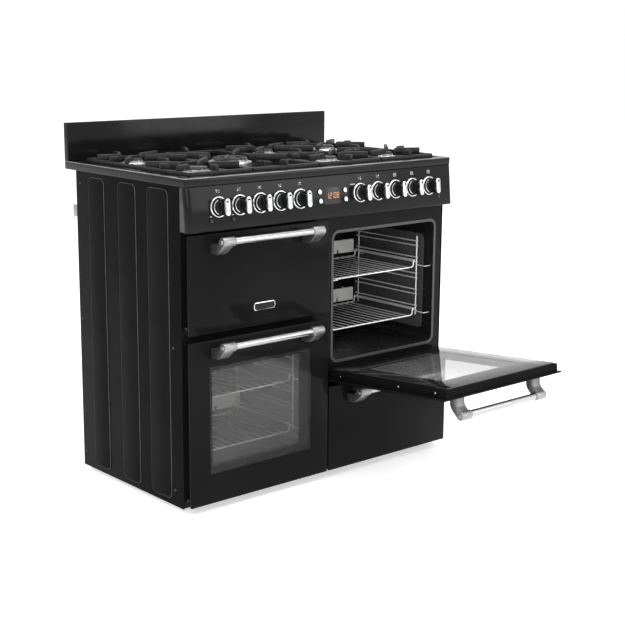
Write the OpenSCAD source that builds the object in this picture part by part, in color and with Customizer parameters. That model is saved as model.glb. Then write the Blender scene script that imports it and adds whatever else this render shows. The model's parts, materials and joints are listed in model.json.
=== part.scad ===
// Free-standing range cooker with a grill, two ovens, a storage drawer and a seven burner gas hob.
// X runs across the front, the front faces -Y and Z = 0 is the floor.
// The origin is below the middle of the whole outline, with the right oven door open.

/* [Overall] */
// Width over the side panels and the hob
cooker_w = 1000; // [960:1:1100]
// Depth of the hob, front to back
hob_d = 600; // [580:1:640]
// Height of the hob above the floor
hob_h = 923; // [915:1:940]
// Gap between the floor and the side panels
foot_gap = 12; // [10:0.5:20]
// Depth of the body below the hob
body_d = 514; // [505:1:530]
// How far the hob stands out in front of the body
hob_front = 25; // [22:0.5:30]
// Thickness of the hob's edge
hob_t = 23.5; // [21:0.5:30]
// Thickness of the body's sheet metal
sheet_t = 1.5; // [1:0.1:2]
// Height of the splashback above the hob
splash_h = 110.5; // [60:0.5:160]
// Thickness of the splashback
splash_t = 20; // [15:0.5:26]

/* [Front] */
// Height of the control panel
panel_h = 119.5; // [112:0.5:122]
// How far the control panel's top edge stands out from the body
panel_top = 28.5; // [24:0.5:32]
// How far the control panel's bottom edge stands out from the body
panel_bottom = 39.7; // [36:0.1:44]
// Wall of the control panel
panel_t = 2.5; // [2:0.1:3]
// Gap between the control panel and the doors
panel_gap = 7; // [5:0.5:9]
// Height of the grill door
grill_door_h = 269; // [262:0.5:276]
// Gap between the grill door and the left oven door
door_gap = 19; // [16:0.5:22]
// Height of the drawer front
drawer_front_h = 258; // [252:0.5:264]
// Gap between the drawer front and the right oven door
drawer_gap = 6; // [5:0.5:9]
// Gap between the doors and the bottom of the side panels
bottom_gap = 10.5; // [9:0.5:14]
// Gap on each side of the middle line between the two columns of doors
column_gap = 2.5; // [2:0.5:4]
// How far the doors' outer faces stand out from the body
door_reach = 32.5; // [32:0.5:34]
// Angle of an open door from upright
open_angle = 85.15; // [75:0.05:88]

/* [Doors] */
// Thickness of a door's outer panel
glass_t = 5; // [4:0.5:5.5]
// Thickness of a door's inner glass
inner_t = 4; // [3:0.5:5]
// Depth of a door's frame behind its outer panel
frame_d = 23; // [21:0.5:23.5]
// How far a door's frame is set in from the panel's sides
frame_side = 13; // [12:0.5:16]
// How far a door's frame is set in from the panel's top and bottom
frame_end = 6; // [5:0.5:8]
// How far the inner glass is set in from the panel's sides
inner_side = 23; // [20:0.5:30]
// How far the inner glass is set in from the panel's top and bottom
inner_end = 9; // [8:0.5:12]
// Margin of the window at a door's sides
window_side = 68; // [60:1:80]
// Margin of the window at a door's top
window_top = 76; // [66:1:84]
// Margin of the window at a door's bottom
window_bottom = 85; // [76:1:92]
// Height of a hinge pin above the door's bottom edge
pivot_up = 18; // [16:0.5:22]
// Depth of a hinge pin behind the door's outer face
pivot_in = 9; // [8.5:0.1:10]
// Diameter of a hinge pin
pin_d = 4; // [3.5:0.1:4]
// Clearance round a pin or a spindle, on the radius
running_gap = 0.05; // [0.02:0.01:0.1]

/* [Handles] */
// Diameter of a handle's bar
bar_d = 20; // [18:0.5:22]
// Diameter of the boss at each end of a handle
boss_d = 26; // [24:0.5:27]
// Length of a boss
boss_l = 48; // [42:1:54]
// Length of a handle over its bosses
handle_l = 368; // [340:1:390]
// Distance from the door's face to the middle of the bar
handle_reach = 53.5; // [50:0.5:54]
// Depth of the grill handle below the door's top edge
grill_handle_drop = 16; // [14:0.5:20]
// Depth of an oven handle below the door's top edge
oven_handle_drop = 12; // [11:0.5:14]
// Depth of the drawer handle below the drawer's top edge
drawer_handle_drop = 19; // [16:0.5:24]
// Width of a handle's arm
arm_w = 34; // [30:1:38]

/* [Ovens] */
// Distance from the middle line to an oven's inner wall
mouth_in = 46; // [44:1:52]
// Distance from an oven's outer wall to the outer edge of its door
mouth_out = 37; // [34:0.5:45]
// Depth of an oven from its mouth to its back wall
oven_d = 364; // [350:1:375]
// Height of the right oven's mouth above the door's bottom edge
right_mouth_up = 61; // [56:1:64]
// Height of the right oven's mouth
right_mouth_h = 377; // [370:1:384]
// Height of the left oven's mouth above the door's bottom edge
left_mouth_up = 61; // [56:1:64]
// Height of the left oven's mouth
left_mouth_h = 354; // [346:1:360]
// Height of the grill's mouth above the door's bottom edge
grill_mouth_up = 46; // [42:1:50]
// Height of the grill's mouth
grill_mouth_h = 180; // [172:1:184]
// Corner radius of the mouths
mouth_r = 18; // [12:1:24]
// Recess of the front frame behind the side panels' front edges
frame_recess = 2.5; // [2:0.1:3]
// Thickness of the door seals
seal_t = 2.2; // [2:0.1:2.4]
// Width of the door seals
seal_w = 9; // [7:0.5:11]

/* [Shelves] */
// Distance between two levels of the side racks
level_pitch = 51.3; // [50:0.1:52]
// Height of the lowest level above the oven's floor
level_first = 100; // [96:1:104]
// Distance between the two wires of a level
pair_gap = 14.4; // [13.6:0.1:15]
// Diameter of the racks' wires
rack_wire = 4; // [3:0.5:5]
// Distance from the oven's side wall to the racks' wires
rack_in = 28; // [24:0.5:36]
// Depth of the racks' front ends behind the oven's mouth
rack_back = 36; // [26:1:40]
// Length of the racks
rack_l = 280; // [270:1:284]
// Diameter of a shelf's frame wire
shelf_wire = 4.5; // [4:0.5:6]
// Diameter of a shelf's cross wires
cross_wire = 3; // [2.5:0.5:3.5]
// Number of cross wires on a shelf
cross_n = 12; // [8:1:14]
// How far a shelf hangs below its side rails
shelf_dip = 20.5; // [16:0.5:22]
// Travel of a shelf
shelf_travel = 240; // [200:1:250]

/* [Drawer] */
// How far the drawer's box is set in from the sides of its front
drawer_in = 27.75; // [25:0.25:38]
// Depth of the drawer's box, front to back
drawer_d = 400; // [360:1:430]
// Height of the drawer's box
drawer_h = 190; // [160:1:200]
// Travel of the drawer
drawer_travel = 330; // [280:1:340]

/* [Hob] */
// Width of the rim round the sunk tray
rim_w = 26; // [20:1:30]
// Depth of the sunk tray
tray_deep = 6; // [4:0.5:8]
// Distance from the middle line to the outer burners
outer_x = 365; // [355:1:370]
// Distance from the middle line to the inner burners
inner_x = 122; // [116:1:126]
// Distance of the front burners in front of the hob's middle
front_burner = 160; // [150:1:165]
// Distance of the rear burners behind the hob's middle
rear_burner = 140; // [135:1:150]
// Diameter of the large burner
wok_d = 130; // [120:1:136]
// Diameter of a rapid burner
rapid_d = 96; // [90:1:100]
// Diameter of a standard burner
standard_d = 76; // [70:1:80]
// Diameter of the small burner
small_d = 56; // [50:1:60]
// Height of the pan supports' fingers above the hob
support_h = 25; // [22:0.5:30]
// Height of the pan supports' frames above the hob
support_frame_h = 10; // [8:0.5:12]
// Width of a pan support's bars
support_bar = 11; // [9:0.5:13]
// Width of a pan support's fingers
finger_w = 10; // [8:0.5:12]
// Length of the raised stubs on a pan support's bars
stub_l = 32; // [26:1:36]

/* [Controls] */
// Distance between two knobs
knob_pitch = 71; // [69:0.5:73]
// Distance from the middle line to the first knob
knob_first = 114; // [110:1:118]
// Height of the knobs below the hob's lower edge
knob_drop = 56.5; // [52:0.5:60]
// Diameter of a knob's chrome ring
bezel_d = 57; // [54:0.5:60]
// Diameter of a knob's skirt
skirt_d = 45; // [42:0.5:46]
// Height of a knob's grip above the panel
knob_h = 42; // [38:0.5:46]
// Width of a knob's grip
grip_w = 17; // [14:0.5:20]
// Length of a knob's grip
grip_l = 46; // [42:0.5:48]
// Diameter of a spindle
spindle_d = 6; // [5:0.5:8]
// Diameter of a clock button
button_d = 14; // [12:0.5:16]
// Travel of the buttons
button_travel = 2; // [1:0.1:2.5]

/* [Hidden] */
$fn = 48;
half_w = cooker_w / 2;
hob_under = hob_h - hob_t;
panel_z = hob_under - panel_h;
column_top = panel_z - panel_gap;
door_bottom = foot_gap + bottom_gap;
grill_z = column_top - grill_door_h;
left_door_h = grill_z - door_gap - door_bottom;
right_z = door_bottom + drawer_front_h + drawer_gap;
right_door_h = column_top - right_z;
door_w = half_w - column_gap - 2;
door_x = column_gap + door_w / 2;
mouth_w = door_x + door_w / 2 - mouth_in - mouth_out;
drawer_w = door_w - 2 * drawer_in;

// Distances from the body's front edge to the furthest point of the open door, and to the middle of all
pivot_reach = door_reach - pivot_in;
open_h = right_door_h - pivot_up;
panel_tip = open_h * sin(open_angle) + pivot_in * cos(open_angle);
handle_tip = (open_h - oven_handle_drop) * sin(open_angle)
    + (handle_reach + pivot_in) * cos(open_angle) + boss_d / 2;
open_reach = pivot_reach + max(panel_tip, handle_tip);
front_y = (open_reach - hob_d + hob_front) / 2;
back_y = front_y + body_d;
hob_y = front_y - hob_front;
door_y = front_y - door_reach;
pivot_y = front_y - pivot_reach;
frame_y = front_y + frame_recess;
cavity_y = frame_y + sheet_t;

grill_mouth_z = grill_z + grill_mouth_up;
left_mouth_z = door_bottom + left_mouth_up;
right_mouth_z = right_z + right_mouth_up;
mouth_x = mouth_in + mouth_w / 2;
rack_x = mouth_w / 2 - rack_in;

// The control panel's face leans: its foot of the slope and its angle
panel_lean = atan((panel_bottom - panel_top) / panel_h);
face_mid = panel_top + (panel_bottom - panel_top) * knob_drop / panel_h;
knob_z = hob_under - knob_drop;

burners = [
    [-outer_x, -front_burner, rapid_d], [-outer_x, rear_burner, standard_d],
    [-inner_x, 0, wok_d],
    [inner_x, -front_burner, standard_d], [inner_x, rear_burner, standard_d],
    [outer_x, -front_burner, small_d], [outer_x, rear_burner, rapid_d]
];
hob_mid_y = hob_y + hob_d / 2;
tray_z = hob_h - tray_deep;
crown_h = 13;
crown_step = 12;
cap_h = 7;

// A box between two corners
module block(low, high) {
    translate(low) cube(high - low);
}

// A cylinder along X
module rod_x(d, from, to) {
    translate([from, 0, 0]) rotate([0, 90, 0]) cylinder(d = d, h = to - from);
}

// A cylinder along Y
module rod_y(d, from, to) {
    translate([0, from, 0]) rotate([-90, 0, 0]) cylinder(d = d, h = to - from);
}

// An upright plate with round corners that faces the front
module plate(x0, x1, z0, z1, y0, y1, r) {
    block([x0 + r, y0, z0], [x1 - r, y1, z1]);
    block([x0, y0, z0 + r], [x1, y1, z1 - r]);
    for (x = [x0 + r, x1 - r], z = [z0 + r, z1 - r])
        translate([x, 0, z]) rod_y(2 * r, y0, y1);
}

// ---- Body ----

// A pressed rib of the side panel, as a pad of its own depth
module rib_pad(y_front, y_back, x0, x1, inset) {
    rotate([0, 0, 90])
        plate(front_y + y_front + inset, front_y + y_back - inset, foot_gap + 16 + inset,
            hob_under - 12 - inset, -x1, -x0, 18 - inset);
}

rib_deep = 1.5;
rib_spans = [[55, 153], [208, 296], [366, 448]];

// One side panel, for the left side, with three ribs pressed outwards
module side_panel() {
    difference() {
        union() {
            block([-half_w + rib_deep, front_y, foot_gap],
                [-half_w + rib_deep + sheet_t, back_y, hob_under]);
            for (s = rib_spans) rib_pad(s[0], s[1], -half_w, -half_w + rib_deep + sheet_t / 2, 0);
        }
        for (s = rib_spans)
            rib_pad(s[0], s[1], -half_w + sheet_t, -half_w + rib_deep + sheet_t + 1, sheet_t);
    }
}

module side_panel_left() {
    color("#17181a") side_panel();
}

module side_panel_right() {
    color("#17181a") mirror([1, 0, 0]) side_panel();
}

inner_w = half_w - rib_deep - sheet_t;
inlet_x = -inner_w + 60;
inlet_z = hob_under - 92;
gland_x = inner_w - 90;
gland_up = 190;
gland_z = foot_gap + gland_up;
slot_pitch = 60;
slots = floor((inner_w - 190) / slot_pitch);
inlet_d = 20.96;
gland_d = 22;

// The back panel, with the holes for the gas inlet and the cable, and rows of cooling slots
module rear_panel() {
    color("#8c9094") difference() {
        block([-inner_w, back_y - sheet_t, foot_gap + 2], [inner_w, back_y, hob_under]);
        translate([inlet_x, 0, inlet_z]) rod_y(pipe_d + 4, back_y - 5, back_y + 5);
        translate([gland_x, 0, gland_z]) rod_y(gland_d + 1, back_y - 5, back_y + 5);
        for (i = [-slots : slots], z = [hob_under - 60, hob_under - 78])
            block([i * slot_pitch - 20, back_y - 5, z], [i * slot_pitch + 20, back_y + 5, z + 6]);
    }
}

base_h = 28;
foot_d = 38;
foot_in = [60, 46];
stem_d = 10;
feet_at = [for (x = [-1, 1], y = [front_y + foot_in[1], back_y - foot_in[1]])
    [x * (inner_w - foot_in[0]), y]];
runner_up = 96;
runner_z = door_bottom + runner_up;
runner_t = 8;
runner_h = 30;

// The base tray, with its front and rear skirts, and the two rails that the drawer runs on
module base_frame() {
    color("#3a3c3f") difference() {
        block([-inner_w, cavity_y, foot_gap + 2], [inner_w, back_y - sheet_t, foot_gap + 2 + base_h]);
        block([-inner_w + 2, cavity_y + 2, foot_gap + 4],
            [inner_w - 2, back_y - sheet_t - 2, foot_gap + 3 + base_h]);
        for (p = feet_at) translate([p[0], p[1], foot_gap]) cylinder(d = stem_d + 1, h = 6);
    }
    color("#8c9094") for (s = [-1, 1]) {
        x = door_x + s * (drawer_w / 2 + 1 + runner_t / 2);
        difference() {
            union() {
                block([x - runner_t / 2, cavity_y, runner_z],
                    [x + runner_t / 2, cavity_y + drawer_d, runner_z + runner_h]);
                block([x - runner_t / 2, cavity_y + drawer_d - 20, foot_gap + 4],
                    [x + runner_t / 2, cavity_y + drawer_d, runner_z]);
            }
            block([x - s * (runner_t / 2 + 1) - 4.2, cavity_y - 1, runner_z + 7.5],
                [x - s * (runner_t / 2 + 1) + 4.2, cavity_y + drawer_d - 5, runner_z + runner_h - 7.5]);
        }
    }
}

// Four feet, each a round pad on a threaded stem
module levelling_feet() {
    color("#202124") for (p = feet_at) translate([p[0], p[1], 0]) {
        cylinder(d = foot_d, h = 7);
        translate([0, 0, 7]) cylinder(d = 17, h = foot_gap + 2 - 7);
        cylinder(d = stem_d, h = foot_gap + base_h - 8);
    }
}

drawer_hole_z = [door_bottom + 16, door_bottom + drawer_front_h - 14];
drawer_hole_w = drawer_w + 10;
bracket_t = 4;
bracket_in = 5;
pin_in = 1.5;
eye_d = 2 * (pivot_in - glass_t) - 0.2;
hinge_doors = [[-1, door_bottom], [-1, grill_z], [1, right_z]];

// The face behind the doors, with the mouths cut out, and the brackets that carry the hinge pins
module front_frame() {
    color("#1a1b1d") difference() {
        block([-inner_w, frame_y, foot_gap + 2], [inner_w, cavity_y, panel_z - 1]);
        plate(-mouth_x - mouth_w / 2, -mouth_x + mouth_w / 2, grill_mouth_z,
            grill_mouth_z + grill_mouth_h, frame_y - 1, cavity_y + 1, mouth_r);
        plate(-mouth_x - mouth_w / 2, -mouth_x + mouth_w / 2, left_mouth_z,
            left_mouth_z + left_mouth_h, frame_y - 1, cavity_y + 1, mouth_r);
        plate(mouth_x - mouth_w / 2, mouth_x + mouth_w / 2, right_mouth_z,
            right_mouth_z + right_mouth_h, frame_y - 1, cavity_y + 1, mouth_r);
        block([door_x - drawer_hole_w / 2, frame_y - 1, drawer_hole_z[0]],
            [door_x + drawer_hole_w / 2, cavity_y + 1, drawer_hole_z[1]]);
    }
    color("#b9bcc0") for (d = hinge_doors, s = [-1, 1]) {
        x = d[0] * door_x + s * (door_w / 2 - bracket_in - bracket_t / 2);
        translate([x, 0, d[1] + pivot_up]) difference() {
            union() {
                block([-bracket_t / 2, pivot_y, -eye_d / 2], [bracket_t / 2, frame_y, eye_d / 2]);
                translate([0, pivot_y, 0]) rod_x(eye_d, -bracket_t / 2, bracket_t / 2);
            }
            translate([0, pivot_y, 0])
                rod_x(pin_d + 2 * running_gap, -bracket_t / 2 - 1, bracket_t / 2 + 1);
        }
    }
}

// ---- Hob ----

// The enamelled hob: a pressed slab with a sunk tray and a hole for each burner
module hob_top() {
    y1 = hob_y + hob_d;
    color("#141517") difference() {
        union() {
            block([-half_w + 6, hob_y, hob_under], [half_w - 6, y1, hob_h]);
            block([-half_w, hob_y + 6, hob_under], [half_w, y1, hob_h]);
            for (x = [-half_w + 6, half_w - 6])
                translate([x, hob_y + 6, hob_under]) cylinder(d = 12, h = hob_t);
        }
        block([-half_w + rim_w, hob_y + rim_w, tray_z], [half_w - rim_w, y1 - rim_w - splash_t, hob_h + 1]);
        block([-half_w + 8, hob_y + 8, hob_under - 1], [half_w - 8, y1 - 8, hob_under + 10]);
        for (b = burners)
            translate([b[0], hob_mid_y + b[1], hob_under - 1]) cylinder(d = b[2] - 20, h = hob_t + 2);
    }
}

// The upright board at the back of the hob
module splashback() {
    y1 = hob_y + hob_d;
    color("#17181a") difference() {
        block([-half_w + 2, y1 - splash_t, hob_h], [half_w - 2, y1, hob_h + splash_h]);
        block([-half_w + 2 + sheet_t, y1 - splash_t + sheet_t, hob_h + 12],
            [half_w - 2 - sheet_t, y1 + 1, hob_h + splash_h - sheet_t]);
    }
}

// A burner's crown: a stepped ring that stands in its hole in the hob
module crown(d) {
    rotate_extrude() polygon([
        [0, hob_under + 2], [d / 2 - 12, hob_under + 2], [d / 2 - 12, tray_z], [d / 2, tray_z],
        [d / 2, tray_z + 4], [d / 2 - 5, tray_z + 6], [d / 2 - crown_step - 1, tray_z + 6],
        [d / 2 - crown_step - 1, tray_z + crown_h], [0, tray_z + crown_h]
    ]);
}

module burner_crowns() {
    color("#c9ccd0") for (b = burners) translate([b[0], hob_mid_y + b[1], 0]) crown(b[2]);
}

// The loose caps on the burners: a round lid with a bevelled edge
module burner_caps() {
    color("#101113") for (b = burners)
        translate([b[0], hob_mid_y + b[1], tray_z + crown_h]) rotate_extrude() polygon([
            [0, 0], [b[2] / 2 - crown_step, 0], [b[2] / 2 - crown_step, cap_h - 3],
            [b[2] / 2 - crown_step - 4, cap_h], [0, cap_h]
        ]);
}

support_top = hob_h + support_h;
support_frame = [hob_h - 2, hob_h + support_frame_h];
support_y = [hob_y + rim_w + 12, hob_y + hob_d - splash_t - rim_w - 12];
support_edges = [-half_w + rim_w + 10, -outer_x / 2 - inner_x / 2, 0, outer_x / 2 + inner_x / 2,
    half_w - rim_w - 10];
nose_in = 9;
finger_low = support_frame[1] - 2;

// A raised finger along X, with a sloping nose at one end and upright at the other
module finger(nose, end) {
    rotate([90, 0, 0]) linear_extrude(finger_w, center = true)
        polygon([
            [nose, finger_low + 6], [nose + 7, support_top], [end, support_top], [end, finger_low],
            [nose + 4, finger_low]
        ]);
}

// The fingers of one burner: four that point at it from the side bars, and a stub on each bar
module fingers(bars_x, bars_y, burner, corner_in) {
    middle = (bars_y[0] + bars_y[1]) / 2;
    reach = (bars_y[1] - bars_y[0]) / 2 - corner_in;
    for (x = bars_x, s = [-1, 1]) {
        aim = [x - burner[0], middle + s * reach - hob_mid_y - burner[1]];
        translate([burner[0], hob_mid_y + burner[1], 0]) rotate(atan2(aim[1], aim[0]))
            finger(burner[2] / 2 - nose_in, norm(aim));
    }
    for (stub = [[bars_x[0], middle, 180], [bars_x[1], middle, 0],
            [burner[0], bars_y[0], -90], [burner[0], bars_y[1], 90]])
        translate([stub[0], stub[1], 0]) rotate(stub[2])
            finger(support_bar / 2 - stub_l, support_bar / 2 - 0.5);
}

// One cast iron pan support over one column of burners, on feet that stand in the tray
module pan_support(column) {
    low = [support_edges[column] + 2, support_y[0], support_frame[0]];
    high = [support_edges[column + 1] - 2, support_y[1], support_frame[1]];
    half = support_bar / 2;
    middle = hob_mid_y - 10;
    mine = [for (b = burners) if (b[0] > low[0] && b[0] < high[0]) b];
    pair = len(mine) == 2;
    difference() {
        block(low, high);
        block([low[0] + support_bar, low[1] + support_bar, low[2] - 1],
            [high[0] - support_bar, high[1] - support_bar, high[2] + 1]);
    }
    if (pair) block([low[0] + 1, middle - half, low[2]], [high[0] - 1, middle + half, high[2]]);
    for (b = mine) fingers([low[0] + half, high[0] - half],
        [pair && b[1] > 0 ? middle : low[1] + half, pair && b[1] < 0 ? middle : high[1] - half],
        b, pair ? 48 : 132);
    for (x = [low[0] + half, high[0] - half], y = [low[1] + half, high[1] - half])
        translate([x, y, tray_z]) cylinder(d = support_bar - 2, h = low[2] + 4 - tray_z);
}

module pan_supports() {
    color("#0e0f10") for (column = [0 : 3]) pan_support(column);
}

// ---- Control panel ----

// Puts children on the panel's leaning face: X across, Y up the face and Z out of it
module on_face(x, up) {
    translate([x, front_y - face_mid, knob_z]) rotate([90 - panel_lean, 0, 0])
        translate([0, up, 0]) children();
}

knob_at = [for (s = [-1, 1], i = [0 : 4]) s * (knob_first + knob_pitch * (s < 0 ? 4 - i : i))];
clock_buttons = [[-42, 13], [-40, -13], [54, 12], [56, -14]];
ignition_at = [-half_w + 75, -36];
lamp_at = [-half_w + 148, -36];
neon_at = [half_w - 60, -36];
clock_w = 62;
clock_tall = 48;
small_d_button = 9;

// The outline of the panel from the side, inset by a wall
module panel_outline(inset) {
    polygon([
        [-1, inset], [panel_bottom - inset, inset], [panel_top - inset, panel_h - inset],
        [-1, panel_h - inset]
    ]);
}

// The panel's body between its two ends, drawn inset by a wall
module panel_body(inset, back) {
    round_r = 14;
    intersection() {
        translate([-half_w + inset, front_y, panel_z])
            rotate([90, 0, 90]) mirror([1, 0, 0]) linear_extrude(cooker_w - 2 * inset) panel_outline(inset);
        union() {
            block([-half_w + inset, front_y - panel_bottom + round_r, panel_z - 1],
                [half_w - inset, front_y + back, hob_under + 1]);
            block([-half_w + round_r, front_y - panel_bottom + inset, panel_z - 1],
                [half_w - round_r, front_y + back, hob_under + 1]);
            for (s = [-1, 1])
                translate([s * (half_w - round_r), front_y - panel_bottom + round_r, panel_z - 1])
                    cylinder(r = round_r - inset, h = panel_h + 2);
        }
    }
}

module control_panel() {
    color("#141517") difference() {
        panel_body(0, 0);
        panel_body(panel_t, 2);
        for (x = knob_at) on_face(x, 0) translate([0, 0, -20]) cylinder(d = spindle_d + 4, h = 40);
        for (b = clock_buttons) on_face(b[0], b[1]) translate([0, 0, -20]) cylinder(d = button_d - 2, h = 40);
        for (p = [ignition_at, lamp_at, neon_at])
            on_face(p[0], p[1]) translate([0, 0, -20]) cylinder(d = small_d_button, h = 40);
        on_face(5, 0) translate([-clock_w / 2, -clock_tall / 2, -20]) cube([clock_w, clock_tall, 40]);
    }
}

// The clock's window and the indicator's lens
module panel_lenses() {
    color("#0a0a0c") on_face(5, 0)
        translate([-clock_w / 2 + 0.2, -clock_tall / 2 + 0.2, -panel_t])
            cube([clock_w - 0.4, clock_tall - 0.4, panel_t + 0.5]);
    color("#c8452c") on_face(neon_at[0], neon_at[1])
        translate([0, 0, -panel_t]) cylinder(d = small_d_button - 0.4, h = panel_t + 2);
}

module knob_bezels() {
    color("#d6d9dc") for (x = knob_at) on_face(x, 0) rotate_extrude() polygon([
        [skirt_d / 2 + 1.5, 0], [bezel_d / 2, 0], [bezel_d / 2 - 1, 3], [bezel_d / 2 - 3, 4.5],
        [skirt_d / 2 + 1.5, 4]
    ]);
}

tap_d = 22;
tap_in = 12;
tap_l = 32;
clock_deep = tap_l - 6;
rail_d = 16;
pipe_d = 12;
elbow_w = 19;
gas_knobs = [0, 1, 2, 3, 4, 5, 6];

// The gas manifold with its seven taps, and the pipe that runs back to the inlet
module gas_rail() {
    rail_in = tap_in + tap_l + rail_d / 2 - 2;
    rail_y = front_y - face_mid + rail_in * cos(panel_lean);
    rail_z = knob_z - rail_in * sin(panel_lean);
    color("#c9b26a") difference() {
        union() {
            for (i = gas_knobs) on_face(knob_at[i], 0)
                translate([0, 0, -tap_in - tap_l]) cylinder(d = tap_d, h = tap_l);
            translate([0, rail_y, rail_z]) rod_x(rail_d, inlet_x, knob_at[len(gas_knobs) - 1] + 20);
            translate([inlet_x, 0, rail_z]) rod_y(pipe_d, rail_y, back_y - 60);
            translate([inlet_x, back_y - 60, inlet_z]) cylinder(d = pipe_d, h = rail_z - inlet_z);
            for (p = [[rail_y, rail_z], [back_y - 60, rail_z], [back_y - 60, inlet_z]])
                translate([inlet_x, p[0], p[1]]) cube(elbow_w, center = true);
            translate([inlet_x, 0, inlet_z]) rod_y(pipe_d, back_y - 60, back_y + 1);
            translate([inlet_x, 0, inlet_z]) rod_y(inlet_d + 9, back_y, back_y + 6);
            translate([inlet_x, 0, inlet_z]) rod_y(inlet_d, back_y + 6, back_y + 34);
        }
        for (i = gas_knobs) on_face(knob_at[i], 0)
            translate([0, 0, -tap_in - 18]) cylinder(d = spindle_d + 2 * running_gap, h = 40);
        translate([inlet_x, 0, inlet_z]) rod_y(8, back_y - 20, back_y + 35);
    }
}

// The grill's and the ovens' switches, and the clock's case
module switch_gear() {
    color("#e3e2dc") for (i = [7, 8, 9]) on_face(knob_at[i], 0) difference() {
        union() {
            translate([0, 0, -tap_in - 4]) cylinder(d = 14, h = 4);
            translate([-21, -21, -tap_in - 34]) cube([42, 42, 30]);
        }
        translate([0, 0, -tap_in - 18]) cylinder(d = spindle_d + 2 * running_gap, h = 40);
    }
    color("#26282b") on_face(5, 0)
        translate([-clock_w / 2 - 6, -clock_tall / 2 - 4, -tap_in - clock_deep])
            cube([clock_w + 12, clock_tall + 8, clock_deep]);
}

// The mains terminals' box on the back panel, with the cable gland below
module terminal_box() {
    color("#1c1d1f") difference() {
        union() {
            block([gland_x - 45, back_y - 46, gland_z - 40], [gland_x + 45, back_y - sheet_t, gland_z + 40]);
            translate([gland_x, 0, gland_z]) rod_y(gland_d, back_y - sheet_t - 1, back_y + 14);
            translate([gland_x, 0, gland_z]) rod_y(gland_d + 8, back_y, back_y + 6);
        }
        block([gland_x - 42, back_y - 43, gland_z - 37], [gland_x + 42, back_y - sheet_t - 3, gland_z + 37]);
        translate([gland_x, 0, gland_z]) rod_y(12, back_y - 10, back_y + 20);
    }
}

// One knob on its spindle: a skirt, a round body and a straight grip
module knob(i) {
    color("#1b1c1e") on_face(knob_at[i], 0) {
        translate([0, 0, 0.6]) cylinder(d = skirt_d, h = 6);
        translate([0, 0, 6]) cylinder(d = skirt_d - 11, h = 8);
        intersection() {
            translate([-grip_w / 2, -grip_l / 2, 6]) cube([grip_w, grip_l, knob_h - 6]);
            cylinder(d = grip_l, h = knob_h);
        }
        translate([0, 0, -tap_in - 16]) cylinder(d = spindle_d, h = tap_in + 18);
    }
}

module knob_1() { knob(0); }
module knob_2() { knob(1); }
module knob_3() { knob(2); }
module knob_4() { knob(3); }
module knob_5() { knob(4); }
module knob_6() { knob(5); }
module knob_7() { knob(6); }
module knob_8() { knob(7); }
module knob_9() { knob(8); }
module knob_10() { knob(9); }

// A push button: a domed cap outside the panel on a stem through its hole
module push_button(at, d, stem) {
    on_face(at[0], at[1]) {
        translate([0, 0, -8]) cylinder(d = stem, h = 8 + button_travel + 0.6);
        translate([0, 0, button_travel + 0.5]) cylinder(d = d, h = 2);
        translate([0, 0, button_travel + 2.5]) cylinder(d1 = d, d2 = d - 5, h = 1.5);
    }
}

module small_button(at) { push_button(at, small_d_button + 2, small_d_button - 2); }
module clock_button_1() { color("#d6d9dc") push_button(clock_buttons[0], button_d, button_d - 4); }
module clock_button_2() { color("#d6d9dc") push_button(clock_buttons[1], button_d, button_d - 4); }
module clock_button_3() { color("#d6d9dc") push_button(clock_buttons[2], button_d, button_d - 4); }
module clock_button_4() { color("#d6d9dc") push_button(clock_buttons[3], button_d, button_d - 4); }
module ignition_button() { color("#202124") small_button(ignition_at); }
module lamp_button() { color("#202124") small_button(lamp_at); }

// ---- Doors ----

// Swings children about a door's hinge pins, from closed to open
module swung(z, angle) {
    translate([0, pivot_y, z + pivot_up]) rotate([angle, 0, 0])
        translate([0, -pivot_y, -z - pivot_up]) children();
}

// A door's outer panel
module door_panel(side, z, h) {
    x = side * door_x;
    plate(x - door_w / 2, x + door_w / 2, z, z + h, door_y, door_y + glass_t, 3);
}

// The opening of a door's window, from one depth to another
module window_hole(side, z, h, inset, from, to) {
    x = side * door_x;
    plate(x - door_w / 2 + window_side + inset, x + door_w / 2 - window_side - inset,
        z + window_bottom + inset, z + h - window_top - inset, door_y + from, door_y + to, 14);
}

// A door's frame: a folded box with a window through it, and its two hinge pins
module door_frame(side, z, h, window) {
    x = side * door_x;
    x0 = x - door_w / 2 + frame_side;
    x1 = x + door_w / 2 - frame_side;
    y0 = door_y + glass_t;
    difference() {
        block([x0, y0, z + frame_end], [x1, y0 + frame_d, z + h - frame_end]);
        difference() {
            block([x0 + sheet_t, y0 - 1, z + frame_end + sheet_t],
                [x1 - sheet_t, y0 + frame_d - sheet_t, z + h - frame_end - sheet_t]);
            if (window) window_hole(side, z, h, 8, glass_t - 2, glass_t + frame_d + 1);
        }
        if (window) window_hole(side, z, h, 8 + sheet_t, glass_t - 2, glass_t + frame_d + 1);
    }
    for (s = [-1, 1]) {
        outer = s * (door_w / 2 - pin_in);
        inner = s * (door_w / 2 - frame_side);
        translate([x, pivot_y, z + pivot_up]) rod_x(pin_d, min(outer, inner), max(outer, inner));
    }
}

// A door's inner glass
module door_glass(side, z, h) {
    x = side * door_x;
    y0 = door_y + glass_t + frame_d;
    plate(x - door_w / 2 + inner_side, x + door_w / 2 - inner_side, z + inner_end, z + h - inner_end,
        y0, y0 + inner_t, 5);
}

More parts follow.
